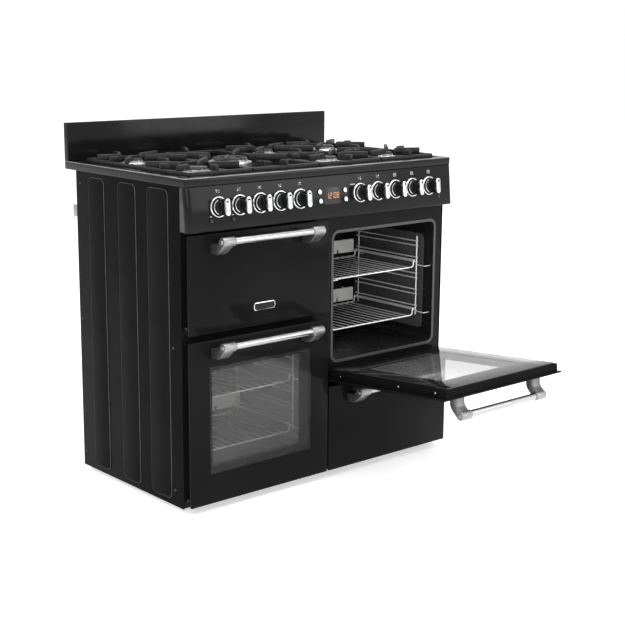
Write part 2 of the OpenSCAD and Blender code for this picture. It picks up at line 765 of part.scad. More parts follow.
// A handle: a bar between two bosses, each on an arm that comes out of the door and bends up to it
module handle(side, z) {
    arm_low = 37;
    arm_high = 10;
    r = boss_d / 2;
    translate([side * door_x, door_y - handle_reach, z]) {
        rod_x(bar_d, -handle_l / 2 + boss_l - 1, handle_l / 2 - boss_l + 1);
        for (s = [-1, 1]) {
            from = s > 0 ? handle_l / 2 - boss_l : -handle_l / 2;
            rod_x(boss_d, from, from + boss_l);
            translate([from + (boss_l - arm_w) / 2, 0, 0]) rotate([90, 0, 90]) linear_extrude(arm_w)
                polygon([
                    [handle_reach, -arm_high], [handle_reach - 22, -arm_high], [r * 0.6, r * 0.75],
                    [-r * 0.7, -r * 0.65], [handle_reach - 40, -arm_low + 4], [handle_reach - 26, -arm_low],
                    [handle_reach, -arm_low]
                ]);
        }
    }
}

module grill_door_panel() {
    color("#101113") door_panel(-1, grill_z, grill_door_h);
}

module grill_door_frame() {
    color("#1a1b1d") door_frame(-1, grill_z, grill_door_h, false);
}

module grill_door_handle() {
    color("#d6d9dc") handle(-1, grill_z + grill_door_h - grill_handle_drop);
}

module left_door_panel() {
    color("#101113") door_panel(-1, door_bottom, left_door_h);
}

module left_door_frame() {
    color("#1a1b1d") door_frame(-1, door_bottom, left_door_h, true);
}

module left_door_glass() {
    color("#3c4043") door_glass(-1, door_bottom, left_door_h);
}

module left_door_handle() {
    color("#d6d9dc") handle(-1, door_bottom + left_door_h - oven_handle_drop);
}

module right_door_panel() {
    color("#101113") swung(right_z, open_angle) door_panel(1, right_z, right_door_h);
}

module right_door_frame() {
    color("#1a1b1d") swung(right_z, open_angle) door_frame(1, right_z, right_door_h, true);
}

module right_door_glass() {
    color("#3c4043") swung(right_z, open_angle) door_glass(1, right_z, right_door_h);
}

module right_door_handle() {
    color("#d6d9dc") swung(right_z, open_angle) handle(1, column_top - oven_handle_drop);
}

// ---- Drawer ----

module drawer_front() {
    y1 = front_y - 3;
    color("#101113") {
        door_panel(1, door_bottom, drawer_front_h);
        difference() {
            block([door_x - door_w / 2 + frame_side, door_y + glass_t, door_bottom + frame_end],
                [door_x + door_w / 2 - frame_side, y1, door_bottom + drawer_front_h - frame_end]);
            block([door_x - door_w / 2 + frame_side + sheet_t, door_y + glass_t - 1,
                door_bottom + frame_end + sheet_t],
                [door_x + door_w / 2 - frame_side - sheet_t, y1 - sheet_t,
                door_bottom + drawer_front_h - frame_end - sheet_t]);
        }
    }
}

drawer_z = drawer_hole_z[0] + 6;

// The drawer's open box, with a slide along each side that runs in its rail
module drawer_box() {
    y0 = front_y - 3;
    x0 = door_x - drawer_w / 2;
    x1 = door_x + drawer_w / 2;
    color("#3a3c3f") difference() {
        block([x0, y0, drawer_z], [x1, y0 + drawer_d, drawer_z + drawer_h]);
        block([x0 + sheet_t, y0 + sheet_t, drawer_z + sheet_t],
            [x1 - sheet_t, y0 + drawer_d - sheet_t, drawer_z + drawer_h + 1]);
    }
    color("#b9bcc0") for (s = [-1, 1]) {
        x = door_x + s * drawer_w / 2;
        block([min(x, x + s * 3), y0 + 10, runner_z + 8.3],
            [max(x, x + s * 3), y0 + drawer_d - 10, runner_z + runner_h - 8.3]);
    }
}

module drawer_handle() {
    color("#d6d9dc") handle(1, door_bottom + drawer_front_h - drawer_handle_drop);
}

// ---- Ovens ----

// A cavity behind its mouth: four walls and a back
module cavity(side, z, h, depth) {
    x = side * mouth_x;
    w = mouth_w / 2;
    difference() {
        block([x - w - sheet_t, cavity_y, z - sheet_t],
            [x + w + sheet_t, cavity_y + depth + sheet_t, z + h + sheet_t]);
        plate(x - w, x + w, z, z + h, cavity_y - 1, cavity_y + depth, mouth_r);
    }
}

liner_t = 2;
liner_back = 36;

// The grey panels on an oven's side walls
module side_liners(side, z, h) {
    for (s = [-1, 1]) {
        x = side * mouth_x + s * mouth_w / 2;
        block([min(x, x - s * liner_t), cavity_y + liner_back, z + 32],
            [max(x, x - s * liner_t), cavity_y + oven_d - 12, z + h - 44]);
    }
}

grill_d = 340;
ledge_up = 60;
ledge_t = 4;

// The grill's cavity, with its looped element under the roof and the two ledges for the pan
module grill_cavity() {
    color("#2a2c2f") {
        cavity(-1, grill_mouth_z, grill_mouth_h, grill_d);
        for (s = [-1, 1]) {
            x = -mouth_x + s * mouth_w / 2;
            block([min(x, x - s * 14), cavity_y + 24, grill_mouth_z + ledge_up],
                [max(x, x - s * 14), cavity_y + grill_d - 4, grill_mouth_z + ledge_up + ledge_t]);
        }
    }
    loop_n = 6;
    loop_step = 44;
    thick = 7;
    near = cavity_y + 60;
    far = cavity_y + grill_d - 60;
    first_x = -mouth_x - (loop_n - 1) * loop_step / 2;
    color("#6b6e72") translate([first_x, 0, grill_mouth_z + grill_mouth_h - 22]) {
        for (i = [0 : loop_n - 1]) translate([i * loop_step, 0, 0])
            rod_y(thick, near - thick / 2, i == 0 || i == loop_n - 1 ? far + 60 : far + thick / 2);
        for (i = [0 : loop_n - 2]) translate([i * loop_step, i % 2 ? far : near, 0])
            rod_x(thick - 0.6, 0, loop_step);
    }
}

module left_oven_cavity() {
    color("#2a2c2f") cavity(-1, left_mouth_z, left_mouth_h, oven_d);
    color("#5d6063") side_liners(-1, left_mouth_z, left_mouth_h);
}

fan_x = mouth_x - 20;
fan_z = right_mouth_z + 190;
fan_d = 150;
fan_front = 26;
shaft_d = 8;

module right_oven_cavity() {
    color("#2a2c2f") difference() {
        cavity(1, right_mouth_z, right_mouth_h, oven_d);
        translate([fan_x, 0, fan_z]) rod_y(shaft_d + 6, cavity_y + oven_d - 2, cavity_y + oven_d + 4);
    }
    color("#5d6063") side_liners(1, right_mouth_z, right_mouth_h);
}

// One seal round a mouth
module seal(side, z, h) {
    x = side * mouth_x;
    w = mouth_w / 2 + 1;
    difference() {
        plate(x - w - seal_w, x + w + seal_w, z - seal_w - 1, z + h + seal_w + 1, frame_y - seal_t, frame_y,
            mouth_r + seal_w);
        plate(x - w, x + w, z - 1, z + h + 1, frame_y - seal_t - 1, frame_y + 1, mouth_r);
    }
}

module door_seals() {
    color("#3c3d3f") {
        seal(-1, grill_mouth_z, grill_mouth_h);
        seal(-1, left_mouth_z, left_mouth_h);
        seal(1, right_mouth_z, right_mouth_h);
    }
}

cover_deep = 34;
cover_w = 300;
cover_h = 320;
slot_n = 9;

// The pan shaped cover over the fan, with its round grille of slots
module fan_cover() {
    y0 = cavity_y + oven_d - cover_deep;
    y1 = cavity_y + oven_d;
    color("#35373a") difference() {
        plate(fan_x - cover_w / 2, fan_x + cover_w / 2, fan_z - cover_h / 2, fan_z + cover_h / 2, y0, y1, 20);
        plate(fan_x - cover_w / 2 + sheet_t, fan_x + cover_w / 2 - sheet_t, fan_z - cover_h / 2 + sheet_t,
            fan_z + cover_h / 2 - sheet_t, y0 + sheet_t, y1 + 1, 20 - sheet_t);
        for (i = [0 : slot_n - 1]) {
            up = (i - (slot_n - 1) / 2) * 13;
            reach = sqrt(70 * 70 - up * up);
            block([fan_x - reach, y0 - 1, fan_z + up - 3], [fan_x + reach, y0 + sheet_t + 1, fan_z + up + 3]);
        }
    }
}

// The fan's wheel: a disc with straight blades on a shaft
module oven_fan() {
    y0 = cavity_y + oven_d - fan_front;
    blades = 8;
    color("#9a9da1") translate([fan_x, 0, fan_z]) {
        rod_y(fan_d, y0 + 18, y0 + 20);
        rod_y(26, y0 + 6, y0 + 19);
        rod_y(shaft_d, y0 + 10, cavity_y + oven_d + 30);
        for (i = [0 : blades - 1]) rotate([0, i * 360 / blades, 0])
            block([10, y0 + 2, -1], [fan_d / 2 - 2, y0 + 18.5, 1]);
    }
}

module fan_motor() {
    y0 = cavity_y + oven_d + sheet_t;
    color("#55585c") translate([fan_x, 0, fan_z]) difference() {
        union() {
            rod_y(60, y0, y0 + 8);
            rod_y(84, y0 + 8, y0 + 60);
        }
        rod_y(shaft_d + 2 * running_gap, y0 - 1, y0 + 34);
    }
}

// ---- Racks and shelves ----

levels = 5;
rack_y0 = cavity_y + rack_back;
rack_z0 = right_mouth_z + level_first;
post_d = 4;
post_in = 8;
hook_in = 8;
hook_up = 136.5;
upper_level = 3;
left_levels = [0, 3];
left_rack_z0 = left_mouth_z + 84;

// One ladder of wires beside an oven's wall, hooked into the wall in front and on pins behind
module rack_side(side, s, z0) {
    x = side * mouth_x + s * rack_x;
    post_x = x + s * (rack_wire + post_d) / 2;
    wall = side * mouth_x + s * mouth_w / 2;
    liner = wall - s * liner_t;
    front = rack_y0 + post_in;
    rear = rack_y0 + rack_l - post_in;
    pin = post_d - 1;
    for (i = [0 : levels - 1], k = [-1, 1])
        translate([x, 0, z0 + i * level_pitch + k * pair_gap / 2])
            rod_y(rack_wire, rack_y0, rack_y0 + rack_l);
    for (y = [front, rear])
        translate([post_x - s * 0.3, y, z0 - 22]) cylinder(d = post_d, h = (levels - 1) * level_pitch + 44);
    for (z = [z0 - 12, z0 + hook_up]) {
        translate([0, rear, z]) rod_x(pin, min(post_x, liner), max(post_x, liner));
        translate([post_x, 0, z]) rod_y(pin, cavity_y + hook_in - pin / 2, front);
        translate([0, cavity_y + hook_in, z]) rod_x(pin - 0.6, min(post_x, wall), max(post_x, wall));
    }
}

module rack_sides() {
    color("#c4c7ca") for (s = [-1, 1]) {
        rack_side(1, s, rack_z0);
        rack_side(-1, s, left_rack_z0);
    }
}

shelf_y0 = rack_y0 + post_in;
shelf_y1 = rack_y0 + rack_l - 4;
cross_up = 2.2;

// A wire shelf: side rails between a level's wires, from which a floor of cross wires hangs
module shelf(side, z0, level) {
    z = z0 + level * level_pitch - pair_gap / 2 + (rack_wire + shelf_wire) / 2 + 0.4;
    half = rack_x - 1.5;
    d = shelf_wire;
    thin = d - 0.6;
    drop_x = half - shelf_wire - rack_wire;
    translate([side * mouth_x, 0, z]) {
        for (s = [-1, 1]) translate([s * half, 0, 0]) rod_y(d, shelf_y0 - d / 2, shelf_y1 + d / 2);
        for (y = [shelf_y0, shelf_y1]) {
            for (s = [-1, 1]) {
                translate([0, y, 0]) rod_x(thin, min(s * half, s * drop_x), max(s * half, s * drop_x));
                translate([s * drop_x, y, -shelf_dip - d / 2]) cylinder(d = d, h = shelf_dip + d);
            }
            translate([0, y, -shelf_dip]) rod_x(thin, -drop_x, drop_x);
        }
        for (i = [1 : cross_n])
            translate([-drop_x + i * 2 * drop_x / (cross_n + 1), 0, cross_up - shelf_dip])
                rod_y(cross_wire, shelf_y0 - d / 2, shelf_y1 + d / 2);
    }
}

module upper_shelf() {
    color("#c4c7ca") shelf(1, rack_z0, upper_level);
}

module lower_shelf() {
    color("#c4c7ca") shelf(1, rack_z0, 0);
}

module left_shelves() {
    color("#c4c7ca") for (level = left_levels) shelf(-1, left_rack_z0, level);
}

lamp_h = 42;
lamp_t = 8;
lamp_foot = 34;

// Each cover's oven, its distance from the outer wall, its width and its height above the floor
lamps = [[1, 36, 86, 83.5], [1, 36, 86, 243.5], [-1, 6, 110, 73.5]];

// The glass covers of the oven lamps, at the right end of each back wall
module lamp_covers() {
    y0 = cavity_y + oven_d - cover_deep - lamp_t - 2;
    color("#d8dadb") for (l = lamps) {
        x1 = l[0] * mouth_x + mouth_w / 2 - l[1];
        z = l[3] + (l[0] > 0 ? right_mouth_z : left_mouth_z);
        block([x1 - l[2], y0, z], [x1, y0 + lamp_t, z + lamp_h]);
        block([x1 - 4 - lamp_foot, y0 + lamp_t - 1, z + 6], [x1 - 4, cavity_y + oven_d, z + lamp_h - 6]);
    }
}

// The grill's pan on its ledges
module grill_pan() {
    x = -mouth_x;
    w = mouth_w / 2 - 6;
    z = grill_mouth_z + ledge_up + ledge_t + 0.3;
    color("#1a1b1d") difference() {
        block([x - w, cavity_y + 30, z], [x + w, cavity_y + grill_d - 20, z + 3]);
        block([x - w + 20, cavity_y + 50, z - 1], [x + w - 20, cavity_y + grill_d - 40, z + 4]);
    }
    color("#1a1b1d") difference() {
        block([x - w + 18, cavity_y + 48, z - 24], [x + w - 18, cavity_y + grill_d - 38, z]);
        block([x - w + 20, cavity_y + 50, z - 22], [x + w - 20, cavity_y + grill_d - 40, z + 1]);
    }
}

side_panel_left();
side_panel_right();
rear_panel();
base_frame();
levelling_feet();
front_frame();
hob_top();
splashback();
control_panel();
panel_lenses();
knob_bezels();
gas_rail();
switch_gear();
terminal_box();
burner_crowns();
burner_caps();
pan_supports();
grill_door_panel();
grill_door_frame();
grill_door_handle();
left_door_panel();
left_door_frame();
left_door_glass();
left_door_handle();
right_door_panel();
right_door_frame();
right_door_glass();
right_door_handle();
drawer_front();
drawer_box();
drawer_handle();
grill_cavity();
left_oven_cavity();
right_oven_cavity();
door_seals();
fan_cover();
oven_fan();
fan_motor();
rack_sides();
upper_shelf();
lower_shelf();
left_shelves();
lamp_covers();
grill_pan();
knob_1();
knob_2();
knob_3();
knob_4();
knob_5();
knob_6();
knob_7();
knob_8();
knob_9();
knob_10();
clock_button_1();
clock_button_2();
clock_button_3();
clock_button_4();
ignition_button();
lamp_button();
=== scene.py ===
import json
import math

import bmesh
import bpy
from mathutils import Matrix, Vector


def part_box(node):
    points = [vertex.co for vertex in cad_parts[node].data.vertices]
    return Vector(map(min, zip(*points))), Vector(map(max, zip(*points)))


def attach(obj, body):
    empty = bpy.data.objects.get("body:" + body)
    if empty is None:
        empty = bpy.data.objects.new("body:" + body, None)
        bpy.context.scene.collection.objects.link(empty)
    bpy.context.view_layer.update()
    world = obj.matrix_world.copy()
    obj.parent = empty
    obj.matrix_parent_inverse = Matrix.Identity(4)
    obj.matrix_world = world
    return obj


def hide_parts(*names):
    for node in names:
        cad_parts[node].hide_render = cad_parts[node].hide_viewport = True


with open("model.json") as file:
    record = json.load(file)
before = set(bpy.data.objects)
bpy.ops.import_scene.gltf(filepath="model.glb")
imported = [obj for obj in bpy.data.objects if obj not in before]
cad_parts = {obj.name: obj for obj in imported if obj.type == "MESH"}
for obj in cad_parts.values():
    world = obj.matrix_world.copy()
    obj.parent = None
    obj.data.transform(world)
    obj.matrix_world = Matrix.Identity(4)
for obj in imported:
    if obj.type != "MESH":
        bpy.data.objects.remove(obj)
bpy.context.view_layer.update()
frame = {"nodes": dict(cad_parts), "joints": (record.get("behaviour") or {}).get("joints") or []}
nodes = frame["nodes"]
joints = {joint["name"]: joint for joint in frame["joints"]}
print("frame loaded:", len(nodes), "nodes")

# Places read from the frame, in metres

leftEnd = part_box("side_panel_left")[0].x
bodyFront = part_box("side_panel_left")[0].y
hobLow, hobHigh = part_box("hob_top")
hobMidY = (hobLow.y + hobHigh.y) / 2
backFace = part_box("rear_panel")[1].y

door = {
    "width": 0.4955, "x": 0.25025, "face": bodyFront - 0.0325, "glass": 0.005, "frameDepth": 0.023,
    "inner": 0.004, "innerSide": 0.023, "innerEnd": 0.009, "windowSide": 0.067, "windowTop": 0.075,
    "windowBottom": 0.0845, "corner": 0.003, "soft": 0.001, "frameSide": 0.013, "frameEnd": 0.006,
    "openAngle": 85.15,
}
glassBack = door["face"] + door["glass"]
grillDoor = {"side": -1, "bottom": 0.504, "height": 0.269}
leftDoor = {"side": -1, "bottom": 0.0225, "height": 0.4625}
rightDoor = {"side": 1, "bottom": 0.2865, "height": 0.4865}
drawerFace = {"side": 1, "bottom": 0.0225, "height": 0.258}

# Short ways to place things

moveTo = Matrix.Translation


def rotation(degrees, axis):
    return Matrix.Rotation(math.radians(degrees), 4, axis)


def linked(name, data):
    obj = bpy.data.objects.new(name, data)
    bpy.context.scene.collection.objects.link(obj)
    return obj


# Camera, solved from the corners of the hob and the doors in the photograph

camera = {
    "place": Vector((-2.49466, -3.08197 + hobMidY, 1.29701 + 0.012)),
    "right": Vector((0.75328803, -0.65764899, 0.00741307)),
    "up": Vector((0.13337872, 0.16379315, 0.9774364)),
    "ahead": Vector((0.64402427, 0.73530239, -0.2110998)),
    "sensor": 36,
    "focal": 1321.17,  # in pixels of the photograph
    "pixels": 625,
    "clip": (0.05, 100),
}


def placeCamera():
    data = bpy.data.cameras.new("camera")
    data.sensor_width = camera["sensor"]
    data.lens = camera["sensor"] * camera["focal"] / camera["pixels"]
    data.clip_start, data.clip_end = camera["clip"]
    obj = linked("camera", data)
    turn = Matrix((camera["right"], camera["up"], -camera["ahead"])).transposed()
    obj.matrix_world = moveTo(camera["place"]) @ turn.to_4x4()
    bpy.context.scene.camera = obj


placeCamera()
print("camera placed")

# Materials


def addNode(material, kind, values=(), **more):
    node = material.node_tree.nodes.new("ShaderNode" + kind)
    for socket, value in (*values, *more.items()):
        node.inputs[socket].default_value = value
    return node


def addNoise(material, scale, stretch=(1, 1, 1), detail=4.0):
    link = material.node_tree.links.new
    mapping = addNode(material, "Mapping", Scale=stretch)
    noise = addNode(material, "TexNoise", Scale=scale, Detail=detail)
    link(addNode(material, "TexCoord").outputs["Object"], mapping.inputs["Vector"])
    link(mapping.outputs["Vector"], noise.inputs["Vector"])
    return noise.outputs["Fac"]


# Sends a source through a node to one of the shader's sockets
def drive(material, source, node, entry, leave, socket):
    shader = material.node_tree.nodes["Principled BSDF"]
    material.node_tree.links.new(source, node.inputs[entry])
    material.node_tree.links.new(node.outputs[leave], shader.inputs[socket])


def rampColor(material, source, dark, light, edges):
    ramp = addNode(material, "ValToRGB")
    for i, color in enumerate((dark, light)):
        ramp.color_ramp.elements[i].position = edges[i]
        ramp.color_ramp.elements[i].color = (*color, 1)
    drive(material, source, ramp, "Fac", "Color", "Base Color")


def varyColor(material, scale, dark, light, stretch=(1, 1, 1)):
    rampColor(material, addNoise(material, scale, stretch), dark, light, (0.35, 0.65))


def addCells(material, scale, output, dark, light, edges):
    cells = addNode(material, "TexVoronoi", Scale=scale)
    place = addNode(material, "TexCoord").outputs["Object"]
    material.node_tree.links.new(place, cells.inputs["Vector"])
    rampColor(material, cells.outputs[output], dark, light, edges)


def varyRoughness(material, scale, low, high, stretch=(1, 1, 1)):
    spread = (("From Min", 0.3), ("From Max", 0.7), ("To Min", low), ("To Max", high))
    ramp = addNode(material, "MapRange", spread)
    drive(material, addNoise(material, scale, stretch), ramp, "Value", "Result", "Roughness")


def addBump(material, scale, strength, distance, stretch=(1, 1, 1), detail=3.0):
    bump = addNode(material, "Bump", Strength=strength, Distance=distance)
    drive(material, addNoise(material, scale, stretch, detail), bump, "Height", "Normal", "Normal")


def grey(tone):
    return (tone, tone, tone)


# sheen: scale, low, high roughness; tones: scale, dark, light; grain: scale, strength, distance;
# cells, for speckle and spangle: scale, output, dark, light, edges
def finish(name, sheen=None, tones=None, cells=None, grain=None, color=None, roughness=0.5,
           metallic=0.0, specular=0.5, ior=1.5, clear=0.0, glow=None):
    material = bpy.data.materials.new(name)
    material.use_nodes = True
    values = {
        "Roughness": roughness, "Metallic": metallic, "Specular IOR Level": specular,
        "IOR": ior, "Transmission Weight": clear,
    }
    if color:
        values["Base Color"] = (*color, 1)
    if glow:
        values["Emission Color"] = (*glow[0], 1)
        values["Emission Strength"] = glow[1]
    for socket, value in values.items():
        material.node_tree.nodes["Principled BSDF"].inputs[socket].default_value = value
    for pattern, setting in (
            (varyColor, tones), (addCells, cells), (varyRoughness, sheen), (addBump, grain)):
        if setting:
            pattern(material, *setting)
    return material


def glossEnamel(name, specular):
    return finish(name, (30, 0.1, 0.2), (5, (0.006, 0.006, 0.0065), (0.009, 0.009, 0.0095)),
                  grain=(180, 0.05, 0.0005), specular=specular)


def satinMetal(name, tone):
    return finish(name, (220, 0.32, 0.44), (420, grey(tone * 0.8), grey(tone * 1.2)),
                  grain=(900, 0.08, 0.0003), metallic=0.9)


def pane(name, color, roughness, clear):  # with a low index, so that it shows what is behind it
    return finish(name, (20, roughness * 0.5, roughness * 1.5), color=color, specular=0.3,
                  ior=1.16, clear=clear)


def plastic(name, color, roughness, specular=0.45):
    return finish(name, (180, roughness * 0.85, roughness * 1.2), color=color, specular=specular,
                  grain=(900, 0.08, 0.0003))


def glowing(name, color, strength):
    return finish(name, (200, 0.35, 0.5), color=color, glow=(color, strength))


paint = finish(
    "blackPaint", (140, 0.38, 0.48), (6, (0.0042, 0.0042, 0.0046), (0.0062, 0.0062, 0.0066)),
    grain=(700, 0.12, 0.0004), specular=0.025)
# A lighter grey for the side ribs' sloping sides and rims: a painted highlight outlining each rib
ribHighlightPaint = finish(
    "paintedRibHighlight", (140, 0.28, 0.42), (35, (0.03, 0.03, 0.031), (0.065, 0.065, 0.067)), specular=0.3)
# A lighter grey for the hob rim's rounded top edge: a painted highlight
rimHighlightPaint = finish("paintedRimHighlight", (90, 0.24, 0.4), (20, (0.11, 0.11, 0.112), (0.21, 0.21, 0.213)))
enamel = glossEnamel("glossEnamel", 0.15)
hobEnamel = glossEnamel("hobEnamel", 0.2)
frameEnamel = glossEnamel("frameEnamel", 0.08)
glassBlack = finish(
    "doorGlass", (9, 0.07, 0.12), (3, (0.006, 0.006, 0.0065), (0.0085, 0.0085, 0.009)),
    grain=(14, 0.03, 0.0006), specular=0.04)
glassTinted = pane("tintedPane", (0.8, 0.8, 0.795), 0.02, 0.985)
glassClear = pane("innerPane", grey(0.86), 0.03, 0.95)
glassBand = finish(
    "mirrorBand", (12, 0.05, 0.1), (8, (0.05, 0.052, 0.054), (0.062, 0.064, 0.066)), metallic=0.8)
chrome = finish("chromePlate", (60, 0.05, 0.13), color=(0.74, 0.75, 0.76), metallic=1.0)
satin = satinMetal("satinMetal", 0.31)
# A darker copy of the satin metal for the handle arms: painted shade on the arms
armSatinPaintedShade = satinMetal("armSatinPaintedShade", 0.19)
brightBar = finish(
    "barMetal", (40, 0.15, 0.26, (1, 30, 30)), (30, grey(0.39), grey(0.51), (1, 25, 25)),
    grain=(60, 0.05, 0.0002, (0.3, 25, 25)), metallic=1.0)
iron = finish(
    "castIron", (120, 0.38, 0.6), (90, grey(0.009), grey(0.018)),
    grain=(420, 0.35, 0.0008, (1, 1, 1), 6), specular=0.3)
capBlack = finish(
    "capEnamel", (150, 0.2, 0.34), (60, grey(0.006), grey(0.011)), grain=(500, 0.1, 0.0004),
    specular=0.2)
burnerAluminium = finish(
    "burnerMetal", (200, 0.26, 0.42), (120, (0.64, 0.64, 0.63), (0.8, 0.8, 0.79)),
    grain=(600, 0.15, 0.0003), metallic=0.9)
ovenDark = finish(
    "ovenEnamel", (60, 0.16, 0.3), grain=(240, 0.08, 0.0004), specular=0.15,
    cells=(260, "Distance", (0.05, 0.05, 0.053), (0.01, 0.0104, 0.0112), (0.1, 0.17)))
liningGrey = finish(
    "ovenLining", (200, 0.6, 0.8), (300, (0.044, 0.044, 0.046), (0.082, 0.082, 0.084)),
    grain=(900, 0.4, 0.0006), specular=0.25)
wire = finish("wireChrome", (300, 0.22, 0.38), (120, grey(0.8), grey(0.9)), metallic=0.45)
rubber = finish(
    "sealRubber", (150, 0.28, 0.45), (70, (0.042, 0.043, 0.044), (0.058, 0.059, 0.06)),
    grain=(500, 0.12, 0.0004), specular=0.4)
zinc = finish(
    "zincSteel", (90, 0.32, 0.5), metallic=0.9,
    cells=(70, "Color", (0.29, 0.295, 0.3), (0.4, 0.405, 0.41), (0, 1)))
lampGlass = finish(
    "lampWhite", (90, 0.28, 0.42), (40, (0.55, 0.55, 0.53), (0.68, 0.68, 0.66)), specular=0.4,
    glow=((0.9, 0.9, 0.88), 0.08))
knobBlack = plastic("knobBlack", grey(0.007), 0.22, 0.25)
plasticBlack = plastic("plasticBlack", grey(0.018), 0.45)
plasticWhite = plastic("plasticWhite", (0.75, 0.74, 0.7), 0.4)
printWhite = plastic("printWhite", grey(0.72), 0.5)
clockDark = plastic("clockDark", (0.006, 0.006, 0.008), 0.3)
pipeMetal = plastic("pipeMetal", grey(0.6), 0.35)
digitGlow = glowing("digitGlow", (0.5, 0.2, 0.06), 0.7)
lensRed = glowing("lensRed", (0.1, 0.012, 0.01), 0.05)
print("materials made:", len(bpy.data.materials))

# Making pieces


def shade(mesh, angle):
    mesh.polygons.foreach_set("use_smooth", [True] * len(mesh.polygons))
    mesh.set_sharp_from_angle(angle=math.radians(angle))


def enterPiece(name, mesh, replaced, body, angle):
    shade(mesh, angle)
    obj = linked(name, mesh)
    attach(obj, body)
    if replaced:
        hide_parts(replaced)
    return obj


def finishPiece(name, bm, materials, replaced="", body="cooker", angle=35, recalc=True):
    if recalc:
        bmesh.ops.recalc_face_normals(bm, faces=bm.faces)
    mesh = bpy.data.meshes.new(name)
    bm.to_mesh(mesh)
    bm.free()
    for material in materials:
        mesh.materials.append(material)
    return enterPiece(name, mesh, replaced, body, angle)


def sharpEdges(edges, angle=60):
    return [edge for edge in edges if edge.calc_face_angle(0) > math.radians(angle)]


def bevelEdges(bm, edges, width, segments=2):
    bmesh.ops.bevel(bm, geom=list(edges), offset=width, offset_type="OFFSET", affect="EDGES",
                    segments=segments, profile=0.5, material=-1, clamp_overlap=True)


def repaint(faces, index):
    for face in faces:
        face.material_index = index


def addCube(bm, low, high, material):
    verts = bmesh.ops.create_cube(bm, size=1.0)["verts"]
    bmesh.ops.scale(bm, vec=high - low, verts=verts)
    bmesh.ops.translate(bm, vec=(low + high) / 2, verts=verts)
    repaint({face for vert in verts for face in vert.link_faces}, material)
    return {edge for vert in verts for edge in vert.link_edges}


def addBlock(bm, low, high, width=0.0, segments=2):
    edges = addCube(bm, Vector(low), Vector(high), 0)
    if width:
        bevelEdges(bm, edges, width, segments)


# A block with round corners about one axis and softened rims
def addPlate(bm, low, high, axis, corner, width, cornerSegments=6, segments=2, material=0):
    before = set(bm.verts)
    edges = addCube(bm, Vector(low), Vector(high), material)
    if corner:
        along = [edge for edge in edges
                 if abs((edge.verts[0].co - edge.verts[1].co).normalized()[axis]) > 0.9]
        bevelEdges(bm, along, corner, cornerSegments)
    if width:
        faces = {face for vert in bm.verts if vert not in before for face in vert.link_faces}
        caps = [face for face in faces if abs(face.normal[axis]) > 0.9]
        bevelEdges(bm, {edge for face in caps for edge in face.edges}, width, segments)


# Spins a profile of (radius, height) points about the matrix's Z axis
def addLathe(bm, profile, matrix, steps=48, material=0, closed=False):
    verts = [bm.verts.new((radius, 0, height)) for radius, height in profile]
    edges = [bm.edges.new(pair) for pair in zip(verts, verts[1:])]
    if closed:
        edges.append(bm.edges.new((verts[-1], verts[0])))
    old = set(bm.faces)
    bmesh.ops.spin(bm, geom=verts + edges, cent=(0, 0, 0), axis=(0, 0, 1), angle=math.tau,
                   steps=steps, use_merge=True, use_duplicate=False)
    newVerts = list({vert for face in bm.faces if face not in old for vert in face.verts})
    bmesh.ops.remove_doubles(bm, verts=newVerts, dist=1e-6)
    faces = [face for face in bm.faces if face not in old]
    repaint(faces, material)
    newVerts = list({vert for face in faces for vert in face.verts})
    bmesh.ops.transform(bm, matrix=matrix, verts=newVerts)


def addRod(bm, start, end, radius, segments, width=0.0):
    start, end = Vector(start), Vector(end)
    length = (end - start).length
    turn = (end - start).to_track_quat("Z", "Y").to_matrix().to_4x4()
    soft = min(width, radius * 0.5)
    profile = [(0, 0), (radius - soft, 0), (radius, soft), (radius, length - soft),
               (radius - soft, length), (0, length)]
    if not soft:
        profile = [(0, 0), (radius, 0), (radius, length), (0, length)]
    addLathe(bm, profile, moveTo(start) @ turn, segments)


def drawUp(bm, faces, height):
    grown = bmesh.ops.extrude_face_region(bm, geom=faces)["geom"]
    top = [item for item in grown if isinstance(item, bmesh.types.BMVert)]
    bmesh.ops.translate(bm, vec=(0, 0, height), verts=top)


# An outline of (x, y) points drawn up along the matrix's Z axis and softened
def addPrism(bm, outline, matrix, depth, width, segments=2):
    before = set(bm.faces)
    verts = [bm.verts.new((x, y, 0)) for x, y in outline]
    drawUp(bm, [bm.faces.new(verts)], depth)
    faces = [item for item in bm.faces if item not in before]
    bmesh.ops.recalc_face_normals(bm, faces=faces)
    bmesh.ops.transform(bm, matrix=matrix, verts=list({vert for item in faces for vert in item.verts}))
    bevelEdges(bm, sharpEdges({edge for item in faces for edge in item.edges}, 25), width, segments)


def movedBy(bm, matrix):
    bmesh.ops.transform(bm, matrix=matrix, verts=bm.verts)


def moveFresh(bm, before, matrix):
    bmesh.ops.transform(bm, matrix=matrix, verts=[vert for vert in bm.verts if vert not in before])


# A copy of a CAD node with its edges rounded
def softened(node, name, material, body, width, segments=2):
    bm = bmesh.new()
    bm.from_mesh(nodes[node].data)
    bmesh.ops.remove_doubles(bm, verts=bm.verts, dist=2e-6)
    bmesh.ops.dissolve_limit(bm, angle_limit=math.radians(1), verts=bm.verts, edges=bm.edges)
    obj = finishPiece(name, bm, [material], node, body, 30, recalc=False)
    bevel = obj.modifiers.new("rounding", "BEVEL")
    bevel.width = width
    bevel.segments = segments
    bevel.limit_method = "ANGLE"
    bevel.angle_limit = math.radians(35)


def dress(material, *names):
    for name in names:
        mesh = nodes[name].data
        mesh.materials.clear()
        mesh.materials.append(material)


# Body

side = {
    "sheet": 0.0015, "soft": 0.0006, "ribHeight": 0.0015,
    "ribs": ((0.055, 0.153), (0.208, 0.296), (0.366, 0.448)), "ribLow": 0.028, "ribHigh": 0.8875,
    "ribCorner": 0.018, "ribRoot": 0.0008, "rimWidth": 0.0014,
    "screws": ((0.04, 0.461), (0.039, 0.059), (0.492, 0.865), (0.5, 0.465), (0.5, 0.058)),
    "screwHead": [(0, 0.0013), (0.0022, 0.0012), (0.0034, 0.0006), (0.0038, 0)],
}


